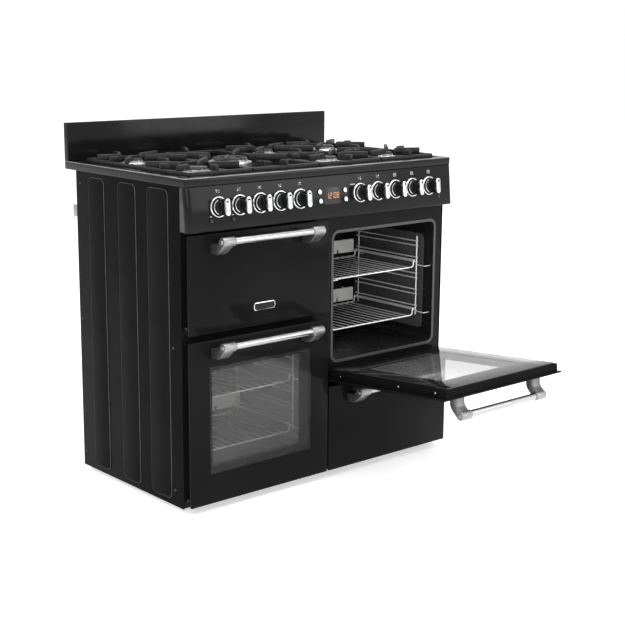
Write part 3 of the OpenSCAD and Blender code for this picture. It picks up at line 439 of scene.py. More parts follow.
# Both are made at the left end, and the right one is then turned over
def sidePanel(sign, name, node):
    low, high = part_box(node)
    x0, slack = leftEnd + side["ribHeight"], 1e-4
    bm = bmesh.new()
    addBlock(bm, (x0, low.y, low.z), (x0 + side["sheet"], high.y, high.z), side["soft"])
    for near, far in side["ribs"]:
        y0, y1 = bodyFront + near, bodyFront + far
        addPlate(bm, (leftEnd, y0, side["ribLow"]), (x0 + side["ribRoot"], y1, side["ribHigh"]),
                 0, side["ribCorner"], 0, 8)
        rim = [edge for edge in bm.edges if all(
            vert.co.x < leftEnd + slack / 10 and y0 - slack < vert.co.y < y1 + slack for vert in edge.verts)]
        bevelEdges(bm, rim, side["rimWidth"], 3)
        # The ribs' sides and rounded rims take the lighter grey: a painted highlight outlining each rib
        repaint([face for face in bm.faces if abs(face.normal.x) < 0.99
                 and face.calc_center_median().x < x0 - slack and face.material_index == 0], 2)
    for y, z in side["screws"]:
        spot = moveTo((x0, bodyFront + y, z)) @ rotation(-90, "Y")
        addLathe(bm, side["screwHead"], spot, 20, 1)
    if sign > 0:
        bmesh.ops.scale(bm, vec=(-1, 1, 1), verts=bm.verts)
    finishPiece(name, bm, [paint, plasticBlack, ribHighlightPaint], node)


sidePanel(-1, "leftSide", "side_panel_left")
sidePanel(1, "rightSide", "side_panel_right")
dress(frameEnamel, "front_frame")
dress(zinc, "rear_panel", "base_frame", "drawer_box", "oven_fan")
dress(plasticBlack, "levelling_feet", "terminal_box", "fan_motor")
dress(plasticWhite, "switch_gear")
dress(pipeMetal, "gas_rail")
dress(ovenDark, "grill_cavity", "left_oven_cavity", "right_oven_cavity", "grill_pan")
dress(wire, "rack_sides")
softened("door_seals", "mouthSeals", rubber, "cooker", 0.0009, 3)

board = {"sheet": 0.0015, "foot": 0.012, "soft": 0.0006}


# A folded board, hollow at its back
def splashboard():
    low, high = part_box("splashback")
    bm = bmesh.new()
    addBlock(bm, low, high)
    back = max(bm.faces, key=lambda face: face.calc_center_median().y)
    sheet = board["sheet"]
    bmesh.ops.inset_region(bm, faces=[back], thickness=sheet)
    for vert in back.verts:
        if vert.co.z < (low.z + high.z) / 2:
            vert.co.z = low.z + board["foot"]
    sunk = bmesh.ops.extrude_discrete_faces(bm, faces=[back])["faces"][0]
    bmesh.ops.translate(bm, vec=(0, low.y + sheet - high.y, 0), verts=sunk.verts)
    bevelEdges(bm, sharpEdges(bm.edges), board["soft"], 3)
    finishPiece("splashboard", bm, [enamel], "splashback")


splashboard()

tab = {
    "x": -0.497, "low": 0.765, "high": 0.8, "out": 0.0225, "wide": 0.032,
    "sheet": 0.0015, "corner": 0.004, "soft": 0.0004, "screwAt": 0.6,
    "screwHead": [(0, 0.0022), (0.0024, 0.0021), (0.0036, 0.0012), (0.004, 0), (0, 0)],
}


# A small angle bracket on the back, with a screw, that holds the cooker to the wall
def wallBracket():
    x, low, high, sheet = tab["x"], tab["low"], tab["high"], tab["sheet"]
    bm = bmesh.new()
    for end, axis in (((x + sheet, backFace + tab["out"], high), 0),
                      ((x + tab["wide"], backFace + sheet, high), 1)):
        addPlate(bm, (x, backFace, low), end, axis, tab["corner"], tab["soft"], 4)
    middle = (x + tab["wide"] * tab["screwAt"], backFace + sheet, (low + high) / 2)
    addLathe(bm, tab["screwHead"], moveTo(middle) @ rotation(-90, "X"), 24)
    finishPiece("wallBracket", bm, [zinc])


wallBracket()
softened("fan_cover", "fanShield", ovenDark, "cooker", 0.001)
print("body made")

# Hob

hob = {
    "corner": 0.006, "rim": 0.021, "ledge": 0.02, "slope": 0.006, "depth": 0.006, "soft": 0.0022,
    "seam": 0.0004,
}


# Insets the top face, fits the inset part to the given box and lowers it
def sinkTop(bm, top, low, high, drop):
    bmesh.ops.inset_region(bm, faces=[top], thickness=hob["seam"])
    x0, x1 = min(vert.co.x for vert in top.verts), max(vert.co.x for vert in top.verts)
    y0, y1 = min(vert.co.y for vert in top.verts), max(vert.co.y for vert in top.verts)
    for vert in top.verts:
        vert.co.x = low.x + (vert.co.x - x0) / (x1 - x0) * (high.x - low.x)
        vert.co.y = low.y + (vert.co.y - y0) / (y1 - y0) * (high.y - low.y)
        vert.co.z -= drop
    return list(top.edges)


def hobSlab():
    bm = bmesh.new()
    addPlate(bm, hobLow, hobHigh, 2, hob["corner"], 0, 5)
    top = max(bm.faces, key=lambda face: face.calc_center_median().z)
    bottom = min(bm.faces, key=lambda face: face.calc_center_median().z)
    outer = list(top.edges) + list(bottom.edges)
    edge = Vector((hob["rim"], hob["rim"], 0))
    slope = Vector((hob["slope"], hob["slope"], 0))
    low, high = hobLow + edge, hobHigh - edge - Vector((0, hob["ledge"], 0))
    rim = sinkTop(bm, top, low, high, 0)
    foot = sinkTop(bm, top, low + slope, high - slope, hob["depth"])
    bevelEdges(bm, outer + rim + foot, hob["soft"], 3)
    bm.normal_update()
    # The sloping faces of the rounded top edge at the sides and front take the lighter grey: a painted
    # highlight along the rim
    for face in bm.faces:
        middle = face.calc_center_median()
        atRim = abs(middle.x) > hobHigh.x - hob["soft"] or middle.y < hobLow.y + hob["soft"]
        if atRim and middle.z > hobHigh.z - hob["soft"] and 0.2 < face.normal.z < 0.97:
            face.material_index = 1
    finishPiece("hobSlab", bm, [hobEnamel, rimHighlightPaint], "hob_top", angle=40)


hobSlab()

tray = hobHigh.z - hob["depth"]
burners = (  # x, y from the hob's middle, diameter
    (-0.365, -0.16, 0.096), (-0.365, 0.14, 0.076), (-0.122, 0.0, 0.13), (0.122, -0.16, 0.076),
    (0.122, 0.14, 0.076), (0.365, -0.16, 0.056), (0.365, 0.14, 0.096),
)
burner = {
    "flangeHeight": 0.006, "crownIn": 0.0135, "crownHeight": 0.013, "capIn": 0.013, "capHeight": 0.007,
    "ringFrom": 0.12,  # wider burners have a ring for a cap, with a small cap in its middle
    "toothPitch": 0.0052, "fewestTeeth": 20, "toothWidth": 0.0022,
    "sparkOut": 0.004, "sparkAngles": (75, 255),
    "sparkBody": [(0, 0), (0.003, 0), (0.003, 0.0085), (0.0022, 0.01), (0.0012, 0.0105)],
    "sparkTip": [(0.0012, 0.0105), (0.001, 0.0155), (0, 0.016)],
}


def addTeeth(bm, at, crown, step, high):
    count = max(burner["fewestTeeth"], int(math.tau * crown / burner["toothPitch"]))
    half = burner["toothWidth"] / 2
    for i in range(count):
        before = set(bm.verts)
        addBlock(bm, (crown - 0.0008, -half, step + 0.0022), (crown + 0.0014, half, high - 0.0002))
        moveFresh(bm, before, at @ rotation(i * 360 / count, "Z"))


# A cap's profile: its underside, its rounded rim and its top
def capProfile(start, cap, high):
    top = high + burner["capHeight"]
    rim = [(cap, high), (cap + 0.001, high + 0.002), (cap - 0.002, top - 0.0015), (cap - 0.006, top)]
    return [start] + rim


def burnerSet():
    crowns, caps, sparks = bmesh.new(), bmesh.new(), bmesh.new()
    high, step = burner["crownHeight"], burner["flangeHeight"]
    top = high + burner["capHeight"]
    for x, y, d in burners:
        at = moveTo((x, hobMidY + y, tray))
        r = d / 2
        crown, cap = r - burner["crownIn"], r - burner["capIn"]
        profile = [
            (0, -0.004), (r - 0.012, -0.004), (r - 0.004, 0.0002), (r, 0.0006), (r, step - 0.0015),
            (r - 0.0015, step), (crown + 0.003, step - 0.0004), (crown + 0.0015, step + 0.001),
            (crown, step + 0.002), (crown, high), (0, high),
        ]
        addLathe(crowns, profile, at, 64)
        addTeeth(crowns, at, crown, step, high)
        if d > burner["ringFrom"]:
            ring = [(0.04, top), (0.036, top - 0.0015), (0.034, high + 0.002)]
            addLathe(caps, capProfile((0.034, high), cap, high) + ring, at, 64, closed=True)
            addLathe(caps, [(0, high), (0.02, high), (0.021, high + 0.002), (0.019, top - 0.0015),
                            (0.015, top), (0, top + 0.0002)], at, 48)
        else:
            addLathe(caps, capProfile((0, high), cap, high) + [(0, top + 0.0003)], at, 64)
        for angle in burner["sparkAngles"]:
            a, out = math.radians(angle), r + burner["sparkOut"]
            spot = at @ moveTo((out * math.cos(a), out * math.sin(a), 0))
            addLathe(sparks, burner["sparkBody"], spot, 16)
            addLathe(sparks, burner["sparkTip"], spot, 12, 1)
    finishPiece("burnerCrowns", crowns, [burnerAluminium], "burner_crowns")
    finishPiece("burnerLids", caps, [capBlack], "burner_caps")
    finishPiece("sparkPlugs", sparks, [plasticWhite, wire])


burnerSet()

grate = {
    "top": hobHigh.z + 0.025, "frameTop": hobHigh.z + 0.01, "frameLow": hobHigh.z - 0.002,
    "bar": 0.011, "finger": 0.01, "near": hobLow.y + 0.038, "far": hobHigh.y - 0.058,
    "edges": (-0.464, -0.2435, 0.0, 0.2435, 0.464), "stub": 0.032, "cornerIn": 0.048,
    "wideCornerIn": 0.132, "noseIn": 0.009, "soft": 0.0018, "round": 0.004, "gap": 0.002,
    "crossIn": 0.01,
}


# A raised cast finger along the matrix's X axis, with a sloping nose
def addFinger(bm, matrix, nose, end):
    low, high = grate["frameTop"] - 0.002, grate["top"]
    outline = [(nose + 0.004, low), (nose, low + 0.006), (nose + 0.0015, low + 0.01),
               (nose + 0.006, high - 0.0012), (nose + 0.01, high), (end, high), (end, low)]
    turn = rotation(90, "X") @ moveTo((0, 0, -grate["finger"] / 2))
    addPrism(bm, outline, matrix @ turn, grate["finger"], grate["soft"])


# A ring of bars with round corners
def addGrateFrame(bm, low, high, bar):
    ring = bmesh.new()
    bmesh.ops.create_grid(ring, x_segments=1, y_segments=1, size=0.5)
    bmesh.ops.scale(ring, vec=(high.x - low.x, high.y - low.y, 1), verts=ring.verts)
    bmesh.ops.translate(ring, vec=((low.x + high.x) / 2, (low.y + high.y) / 2, low.z), verts=ring.verts)
    bmesh.ops.inset_region(ring, faces=ring.faces[:], thickness=bar, use_boundary=True,
                           use_even_offset=True)
    middle = max(ring.faces, key=lambda face: face.calc_area())
    bmesh.ops.delete(ring, geom=[middle], context="FACES")
    drawUp(ring, ring.faces[:], high.z - low.z)
    bmesh.ops.recalc_face_normals(ring, faces=ring.faces)
    uprights = [edge for edge in ring.edges if abs(edge.verts[0].co.z - edge.verts[1].co.z) > 0.001]
    bevelEdges(ring, uprights, grate["round"], 3)
    bevelEdges(ring, sharpEdges(ring.edges), grate["soft"])
    mesh = bpy.data.meshes.new("ring")
    ring.to_mesh(mesh)
    ring.free()
    bm.from_mesh(mesh)
    bpy.data.meshes.remove(mesh)


def panGrate(bm, column):
    half, gap = grate["bar"] / 2, grate["gap"]
    low = Vector((grate["edges"][column] + gap, grate["near"], grate["frameLow"]))
    high = Vector((grate["edges"][column + 1] - gap, grate["far"], grate["frameTop"]))
    addGrateFrame(bm, low, high, grate["bar"])
    mine = [item for item in burners if low.x < item[0] < high.x]
    pair = len(mine) == 2
    middle = hobMidY - grate["crossIn"]
    if pair:
        addPlate(bm, (low.x + gap, middle - half, low.z), (high.x - gap, middle + half, high.z),
                 2, 0, grate["soft"], 3)
    for x, y, d in mine:
        y0 = middle if pair and y > 0 else low.y + half
        y1 = middle if pair and y < 0 else high.y - half
        left, right, between = low.x + half, high.x - half, (y0 + y1) / 2
        reach = (y1 - y0) / 2 - (grate["cornerIn"] if pair else grate["wideCornerIn"])
        centre = Vector((x, hobMidY + y, 0))
        for barX in (left, right):
            for sign in (-1, 1):
                aim = Vector((barX, between + sign * reach, 0)) - centre
                turn = Matrix.Rotation(math.atan2(aim.y, aim.x), 4, "Z")
                addFinger(bm, moveTo(centre) @ turn, d / 2 - grate["noseIn"], aim.length)
        for place, angle in (((left, between, 0), 180), ((right, between, 0), 0),
                             ((x, y0, 0), -90), ((x, y1, 0), 90)):
            turn = rotation(angle, "Z")
            addFinger(bm, moveTo(place) @ turn, half - grate["stub"], half - 0.0004)
    legTop = low.z - tray + 0.003
    for x in (low.x + half, high.x - half):
        for y in (low.y + half, high.y - half):
            addLathe(bm, [(0, 0), (0.0038, 0), (0.0044, 0.001), (0.0046, legTop), (0, legTop)],
                     moveTo((x, y, tray)), 16)


def panGrates():
    bm = bmesh.new()
    for column in range(4):
        panGrate(bm, column)
    finishPiece("panGrates", bm, [iron], "pan_supports", angle=50, recalc=False)


panGrates()
print("hob made")

# Control panel

panel = {
    "top": 0.0285, "bottom": 0.0397, "low": 0.78, "high": 0.8995, "end": 0.014, "soft": 0.0022,
    "wall": 0.0025, "knobZ": 0.843, "firstKnob": 0.114, "knobPitch": 0.071, "lensX": 0.44,
    "lensUp": -0.036,
    "lens": [(0, -0.002), (0.0042, -0.002), (0.0042, 0.0012), (0.003, 0.002), (0, 0.0024)],
}
panelHeight = panel["high"] - panel["low"]
lean = math.atan((panel["bottom"] - panel["top"]) / panelHeight)
faceOut = panel["top"] + (panel["bottom"] - panel["top"]) * (panel["high"] - panel["knobZ"]) / panelHeight
knobPlaces = [sign * (panel["firstKnob"] + panel["knobPitch"] * (4 - i if sign < 0 else i))
              for sign in (-1, 1) for i in range(5)]


# A place on the leaning face: across, and up from the knobs' line
def onFace(x, up):
    place = moveTo((x, bodyFront - faceOut, panel["knobZ"]))
    return place @ Matrix.Rotation(math.pi / 2 - lean, 4, "X") @ moveTo((0, up, 0))


def controlFascia():
    bm = bmesh.new()
    bmesh.ops.create_cube(bm, size=1.0)
    bmesh.ops.scale(bm, vec=(1.0, 1.0, panelHeight), verts=bm.verts)
    for vert in bm.verts:
        vert.co.z += (panel["high"] + panel["low"]) / 2
        out = panel["top"] if vert.co.z > panel["knobZ"] else panel["bottom"]
        vert.co.y = bodyFront - (0 if vert.co.y > 0 else out)
    upright = [edge for edge in bm.edges
               if all(vert.co.y < bodyFront for vert in edge.verts)
               and abs((edge.verts[0].co - edge.verts[1].co).normalized().z) > 0.9]
    bevelEdges(bm, upright, panel["end"], 8)
    bm.normal_update()
    rear = [face for face in bm.faces if face.normal.y > 0.9]
    rims = [edge for edge in sharpEdges(bm.edges, 50) if not set(edge.link_faces) & set(rear)]
    bevelEdges(bm, rims, panel["soft"], 3)
    rear = [face for face in bm.faces if face.normal.y > 0.9]
    bmesh.ops.delete(bm, geom=rear, context="FACES_ONLY")
    obj = finishPiece("fascia", bm, [enamel], "control_panel")
    wall = obj.modifiers.new("wall", "SOLIDIFY")
    wall.thickness = panel["wall"]
    wall.offset = -1


controlFascia()

bezel = [(0.0238, 0.0002), (0.0238, 0.003), (0.0246, 0.0042), (0.0258, 0.0047), (0.027, 0.0044),
         (0.028, 0.0032), (0.0285, 0.0012), (0.0285, 0.0002)]


def knobRings():
    bm = bmesh.new()
    for x in knobPlaces:
        addLathe(bm, bezel, onFace(x, 0), 64, closed=True)
    finishPiece("knobRings", bm, [chrome], "knob_bezels")


knobRings()

knob = {
    "skirt": 0.0222, "neck": 0.0165, "stem": 0.003, "stemDepth": 0.026, "gripWidth": 0.0165,
    "gripLength": 0.0455, "gripHeight": 0.042, "gripFoot": 0.008, "trim": 0.006, "eye": 0.004,
    "eyeUp": 0.0146,
}


# A bar with round ends, drawn out along Z
def addGrip(bm, low, high, widen, corner, soft):
    w, l = knob["gripWidth"] / 2 * widen, knob["gripLength"] / 2 * widen
    addPlate(bm, (-w, -l, low), (w, l, high), 2, corner, soft)


def controlKnob(index):
    skirt, neck, stem, eye = knob["skirt"], knob["neck"], knob["stem"], knob["eye"]
    top, number = knob["gripHeight"], index + 1
    body = "control_knob_%d" % number
    bm, trim = bmesh.new(), bmesh.new()
    profile = [
        (0, -knob["stemDepth"]), (stem, -knob["stemDepth"]), (stem, 0.0008), (skirt - 0.0006, 0.0008),
        (skirt, 0.0016), (skirt - 0.0004, 0.005), (skirt - 0.0022, 0.0068), (neck + 0.0012, 0.0082),
        (neck, 0.01), (neck - 0.0008, 0.013), (neck - 0.003, 0.0142), (0, 0.0146),
    ]
    addLathe(bm, profile, Matrix(), 48)
    addGrip(bm, knob["gripFoot"], top - 0.004, 0.97, 0.0078, 0.0008)
    addGrip(trim, top - knob["trim"], top, 1.0, 0.0079, 0.0012)
    addLathe(trim, [(skirt - 0.003, 0.0066), (skirt - 0.0022, 0.0074), (skirt - 0.0034, 0.008),
                    (skirt - 0.0044, 0.0074)], Matrix(), 48, closed=True)
    addLathe(trim, [(0, 0.0004), (eye - 0.0003, 0.0004), (eye, -0.0002), (0, -0.0002)],
             moveTo((0, knob["eyeUp"], top)), 20, 1)
    movedBy(bm, onFace(knobPlaces[index], 0))
    movedBy(trim, onFace(knobPlaces[index], 0))
    finishPiece("knobBody%d" % number, bm, [knobBlack], "knob_%d" % number, body, 40)
    finishPiece("knobTrim%d" % number, trim, [chrome, capBlack], body=body, angle=40)


for index in range(len(knobPlaces)):
    controlKnob(index)

buttons = {  # body, across, up
    "clock_button_1": ("clock_key_1", -0.042, 0.013),
    "clock_button_2": ("clock_key_2", -0.04, -0.013),
    "clock_button_3": ("clock_key_3", 0.054, 0.012),
    "clock_button_4": ("clock_key_4", 0.056, -0.014),
    "ignition_button": ("ignition_key", -0.425, -0.036),
    "lamp_button": ("lamp_key", -0.352, -0.036),
}
buttonSize = {"clock": (0.007, 0.005), "plain": (0.0052, 0.0034), "stemDepth": 0.008}  # head and stem


def pushButtons():
    for node, (body, x, up) in buttons.items():
        clockKey = node.startswith("clock")
        r, stem = buttonSize["clock" if clockKey else "plain"]
        bm = bmesh.new()
        addLathe(bm, [(0, -buttonSize["stemDepth"]), (stem, -buttonSize["stemDepth"]), (stem, 0.0024),
                      (r - 0.0004, 0.0025), (r, 0.0029), (r, 0.0036), (r - 0.0008, 0.0046),
                      (r * 0.6, 0.0056), (r * 0.3, 0.006), (0, 0.0061)], onFace(x, up), 32)
        look, slot = (chrome, "chrome") if clockKey else (plasticBlack, "black_plastic")
        finishPiece(node.replace("_b", "B").replace("_", ""), bm, [look], node, body)


pushButtons()

clock = {
    "x": 0.005, "width": 0.0616, "height": 0.0476, "back": -0.0025, "out": 0.0005, "start": -0.0215,
    "digit": 0.0085, "tall": 0.0165, "stroke": 0.0016, "space": 0.003, "dots": 0.0035,
    "slant": 0.12, "low": 0.0004, "lift": 0.0007,
}
digitBars = {"0": "abcdef", "1": "bc", "2": "abged", "8": "abcdefg"}


def clockFace():
    bm = bmesh.new()
    w, h = clock["width"] / 2, clock["height"] / 2
    addPlate(bm, (-w, -h, clock["back"]), (w, h, clock["out"]), 2, 0.002, 0.0004, 3)
    movedBy(bm, onFace(clock["x"], 0))
    addLathe(bm, panel["lens"], onFace(panel["lensX"], panel["lensUp"]), 24, 1)
    finishPiece("clockWindow", bm, [clockDark, lensRed], "panel_lenses")


def clockDigits():
    bm = bmesh.new()
    w, h, s, z0, z1 = clock["digit"], clock["tall"] / 2, clock["stroke"], clock["low"], clock["lift"]
    bars = {
        "a": ((s / 2, h - s), (w - s / 2, h)), "g": ((s / 2, -s / 2), (w - s / 2, s / 2)),
        "d": ((s / 2, -h), (w - s / 2, -h + s)), "f": ((0, 0.0006), (s, h - 0.0004)),
        "b": ((w - s, 0.0006), (w, h - 0.0004)), "e": ((0, -h + 0.0004), (s, -0.0006)),
        "c": ((w - s, -h + 0.0004), (w, -0.0006)),
    }
    x = clock["start"]
    for letter in "12:08":
        if letter == ":":
            for up in (-clock["dots"], clock["dots"]):
                addBlock(bm, (x + 0.0005, up - s / 2, z0), (x + 0.0005 + s, up + s / 2, z1))
            x += 0.0045
            continue
        for key in digitBars[letter]:
            (xa, ya), (xb, yb) = bars[key]
            addBlock(bm, (x + xa, ya, z0), (x + xb, yb, z1), 0.0002, 1)
        x += w + clock["space"]
    for vert in bm.verts:
        vert.co.x += vert.co.y * clock["slant"]
    movedBy(bm, onFace(clock["x"], 0))
    finishPiece("clockDigits", bm, [digitGlow])


marks = {
    "up": 0.042, "low": 0.00004, "high": 0.00012, "dot": 0.0008, "filled": 0.0017, "dashHalf": 0.0007,
    "plan": (0.0125, 0.018),  # scale of the burners' plan
    "order": (1, 0, 2, 3, 4, 5, 6),  # the burner that each gas knob serves
    "box": (((-0.0055, -0.0045), (0.0055, -0.0037)), ((-0.0055, 0.0037), (0.0055, 0.0045)),
            ((-0.0055, -0.0037), (-0.0047, 0.0037)), ((0.0047, -0.0037), (0.0055, 0.0037)),
            ((-0.0032, 0.0008), (0.0032, 0.0016)), ((-0.0032, -0.0016), (0.0032, -0.0008))),
    "dashes": ((0.085, 0.026, 0.018), (-0.425, -0.024, 0.006), (-0.352, -0.024, 0.006)),
}


# White marks over the knobs: a plan of the burners with one filled, or a lined box for an oven
def printedMarks():
    bm = bmesh.new()
    low, high = marks["low"], marks["high"]
    for i, x in enumerate(knobPlaces):
        before = set(bm.verts)
        if i < len(burners):
            for j, (px, py, d) in enumerate(burners):
                r = marks["filled" if j == marks["order"][i] else "dot"]
                spot = moveTo((px * marks["plan"][0], py * marks["plan"][1], 0))
                addLathe(bm, [(0, high), (r, high), (r, low)], spot, 12)
        else:
            for near, far in marks["box"]:
                addBlock(bm, (*near, low), (*far, high))
        moveFresh(bm, before, onFace(x, marks["up"]))
    for x, up, w in marks["dashes"]:
        before = set(bm.verts)
        addBlock(bm, (-w / 2, -marks["dashHalf"], low), (w / 2, marks["dashHalf"], high))
        moveFresh(bm, before, onFace(x, up))
    finishPiece("printedMarks", bm, [printWhite])


clockFace()
clockDigits()
printedMarks()
print("control panel made")

# Doors


# Gives the pane that lies between the limits another material
def cutWindow(bm, x0, x1, z0, z1):
    across, up = (1, 0, 0), (0, 0, 1)
    for point, normal in (((x0, 0, 0), across), ((x1, 0, 0), across), ((0, 0, z0), up), ((0, 0, z1), up)):
        geom = bm.verts[:] + bm.edges[:] + bm.faces[:]
        bmesh.ops.bisect_plane(bm, geom=geom, plane_co=point, plane_no=normal)
    repaint([face for face in bm.faces if x0 < face.calc_center_median().x < x1
             and z0 < face.calc_center_median().z < z1], 1)


# The outer glass, with a clear window in its printed black field
def doorPanel(name, node, spec, window, body, place=None):
    x, z, top = spec["side"] * door["x"], spec["bottom"], spec["bottom"] + spec["height"]
    w = door["width"] / 2
    bm = bmesh.new()
    addPlate(bm, (x - w, door["face"], z), (x + w, glassBack, top), 1, door["corner"], door["soft"], 3)
    if window:
        wx = w - door["windowSide"]
        cutWindow(bm, x - wx, x + wx, z + door["windowBottom"], top - door["windowTop"])
    if place:
        movedBy(bm, place)
    finishPiece(name, bm, [glassBlack, glassTinted], node, body)


inner = {"corner": 0.005, "soft": 0.0008, "side": 0.087, "bottom": 0.0985, "top": 0.091}


# The inner glass, with a mirrored band round its window, black at its front
def doorInner(name, node, spec, body, place=None):
    x, z, top = spec["side"] * door["x"], spec["bottom"], spec["bottom"] + spec["height"]
    w, wx = door["width"] / 2 - door["innerSide"], door["width"] / 2 - inner["side"]
    y0 = glassBack + door["frameDepth"]
    bm = bmesh.new()
    addPlate(bm, (x - w, y0, z + door["innerEnd"]), (x + w, y0 + door["inner"], top - door["innerEnd"]),
             1, inner["corner"], inner["soft"], 4)
    cutWindow(bm, x - wx, x + wx, z + inner["bottom"], top - inner["top"])
    repaint([face for face in bm.faces if face.material_index == 0 and face.normal.y < -0.5], 2)
    if place:
        movedBy(bm, place)
    finishPiece(name, bm, [glassBand, glassClear, capBlack], node, body)


handle = {
    "bar": 0.01, "half": 0.184, "bossLength": 0.048, "overlap": 0.004, "reach": 0.0535,
    "arm": 0.034, "soft": 0.0032,
}
bossProfile = [
    (0.0, 0.001), (0.0102, 0.001), (0.0108, 0.0), (0.0122, 0.0006), (0.013, 0.003),
    (0.013, 0.0375), (0.0127, 0.0395), (0.0118, 0.0408), (0.01, 0.0412), (0.0093, 0.0404),
    (0.009, 0.037), (0.0064, 0.037), (0.006, 0.0412), (0.0045, 0.0446), (0.0, 0.046),
]
armOutline = [
    (0.0535, -0.01), (0.031, -0.01), (0.023, -0.0065), (0.014, 0.002), (0.0085, 0.0095),
    (-0.002, 0.0122), (-0.0095, 0.0075), (-0.0118, -0.002), (-0.009, -0.009), (-0.002, -0.0165),
    (0.008, -0.0255), (0.0165, -0.0325), (0.0275, -0.037), (0.0535, -0.037),
]
armAxes = Matrix(((0, 0, 1, 0), (1, 0, 0, 0), (0, 1, 0, 0), (0, 0, 0, 1)))  # drawn across the door


# A bright bar between two satin bosses, each on an arm that bends back to the door
def barHandle(name, node, spec, down, body, place=None):
    x, y = spec["side"] * door["x"], door["face"] - handle["reach"]
    z = spec["bottom"] + spec["height"] - down
    half, length, width = handle["half"], handle["bossLength"], handle["arm"]
    bar, ends = bmesh.new(), bmesh.new()
    reach = half - length + handle["overlap"]
    addRod(bar, (x - reach, y, z), (x + reach, y, z), handle["bar"], 40)
    for sign in (-1, 1):
        start = moveTo((x + sign * (half - length), y, z))
        addLathe(ends, bossProfile, start @ rotation(sign * 90, "Y"), 48)
        kept = set(ends.faces)
        low = x + sign * (half - length / 2) - width / 2
        addPrism(ends, armOutline, moveTo((low, y, z)) @ armAxes, width, handle["soft"], 3)
        # The arms take the darker copy of the satin metal: painted shade
        repaint(set(ends.faces) - kept, 1)
    if place:
        movedBy(bar, place)
        movedBy(ends, place)
    finishPiece(name + "Bar", bar, [brightBar], body=body, angle=40)
    finishPiece(name + "Ends", ends, [satin, armSatinPaintedShade], node, body, 40)


hinge = moveTo(Vector(joints["right_door_hinge"]["pos_m"]))
opened = hinge @ rotation(door["openAngle"], "X") @ hinge.inverted()
doorPanel("grillGlass", "grill_door_panel", grillDoor, False, "grill_door")
doorPanel("leftGlass", "left_door_panel", leftDoor, True, "left_door")
doorPanel("rightGlass", "right_door_panel", rightDoor, True, "right_door", opened)
doorInner("leftPane", "left_door_glass", leftDoor, "left_door")
doorInner("rightPane", "right_door_glass", rightDoor, "right_door", opened)
for key in ("grill", "left", "right"):
    softened(key + "_door_frame", key + "Frame", paint, key + "_door", 0.0007)
barHandle("grillHandle", "grill_door_handle", grillDoor, 0.016, "grill_door")
barHandle("leftHandle", "left_door_handle", leftDoor, 0.012, "left_door")
barHandle("rightHandle", "right_door_handle", rightDoor, 0.012, "right_door", opened)
barHandle("drawerHandle", "drawer_handle", drawerFace, 0.019, "drawer")


def drawerFascia():
    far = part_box("drawer_front")[1].y
    x0, x1 = door["x"] - door["width"] / 2, door["x"] + door["width"] / 2
    z0, z1 = drawerFace["bottom"], drawerFace["bottom"] + drawerFace["height"]
    inX, inZ = door["frameSide"], door["frameEnd"]
    bm = bmesh.new()
    addPlate(bm, (x0, door["face"], z0), (x1, glassBack, z1), 1, door["corner"], door["soft"], 3)
    addPlate(bm, (x0 + inX, glassBack, z0 + inZ), (x1 - inX, far, z1 - inZ),
             1, 0.002, door["soft"], 3, 2, 1)
    finishPiece("drawerFascia", bm, [glassBlack, paint], "drawer_front", "drawer")


drawerFascia()

badge = {
    "x": -0.2415, "z": 0.557, "width": 0.075, "height": 0.022, "rim": 0.002,
    "sunk": 0.0002, "rimOut": 0.0016, "fieldBack": 0.0012, "fieldOut": 0.0019, "corner": 0.007,
}


# A bare plate on the grill door, with a bright rim
def badgePlate():
    x, z, y, rim = badge["x"], badge["z"], door["face"], badge["rim"]
    w, h = badge["width"] / 2, badge["height"] / 2
    bm = bmesh.new()
    addPlate(bm, (x - w, y - badge["rimOut"], z - h), (x + w, y + badge["sunk"], z + h),
             1, badge["corner"], 0.0006)
    w, h = w - rim, h - rim
    addPlate(bm, (x - w, y - badge["fieldOut"], z - h), (x + w, y - badge["fieldBack"], z + h),
             1, 0.0052, 0.0002, 6, 1, 1)
    finishPiece("badgePlate", bm, [chrome, capBlack], body="grill_door")


badgePlate()

doorScrew = {
    "heights": (0.4415, 0.3, 0.06), "depth": 0.55,
    "head": [(0, 0.0012), (0.0016, 0.0011), (0.0026, 0.0005), (0.0028, -0.0002)],
}


# Screws in the side edges of the open door's frame
def doorScrews():
    bm = bmesh.new()
    y = glassBack + door["frameDepth"] * doorScrew["depth"]
    for sign in (-1, 1):
        x = door["x"] + sign * (door["width"] / 2 - door["frameSide"])
        for height in doorScrew["heights"]:
            spot = moveTo((x, y, rightDoor["bottom"] + height))
            addLathe(bm, doorScrew["head"], spot @ rotation(sign * 90, "Y"), 20)
    movedBy(bm, opened)
    finishPiece("doorScrews", bm, [chrome], body="right_door")


doorScrews()
print("doors made")

# Ovens

mouthX = 0.2535
cavityY = bodyFront + 0.004
oven = {
    "depth": 0.364, "half": 0.2075,
    "rightFloor": 0.3475, "rightTop": 0.7245, "leftFloor": 0.0835, "leftTop": 0.4375,
}
rack = {
    "pitch": 0.0513, "x": 0.1795, "rightLow": 0.4475, "leftLow": 0.1675, "near": 0.044,
    "far": 0.312, "rail": -0.00255, "wire": 0.00225, "cross": 0.0015, "crossUp": 0.0022,
    "crossOut": 0.0022, "crossCount": 12, "dip": 0.0205, "play": 0.0015, "dropIn": 0.0085,
    "bend": 0.01, "unit": 0.001,
}


def addWirePath(curve, points, radius):
    spline = curve.splines.new("POLY")
    spline.points.add(len(points) - 1)
    for point, co in zip(spline.points, points):
        point.co = (*co, 1)
        point.radius = radius / rack["unit"]


# Replaces each inner corner of a path with a short arc
def roundedPath(points, radius, steps=4):
    points = [Vector(point) for point in points]
    path = [points[0]]
    for before, corner, after in zip(points, points[1:], points[2:]):
        a = (before - corner).normalized() * min(radius, (before - corner).length * 0.45)
        b = (after - corner).normalized() * min(radius, (after - corner).length * 0.45)
        for i in range(steps + 1):
            t = i / steps
            path.append(corner + a * (1 - t) ** 2 + b * t ** 2)
    path.append(points[-1])
    return path


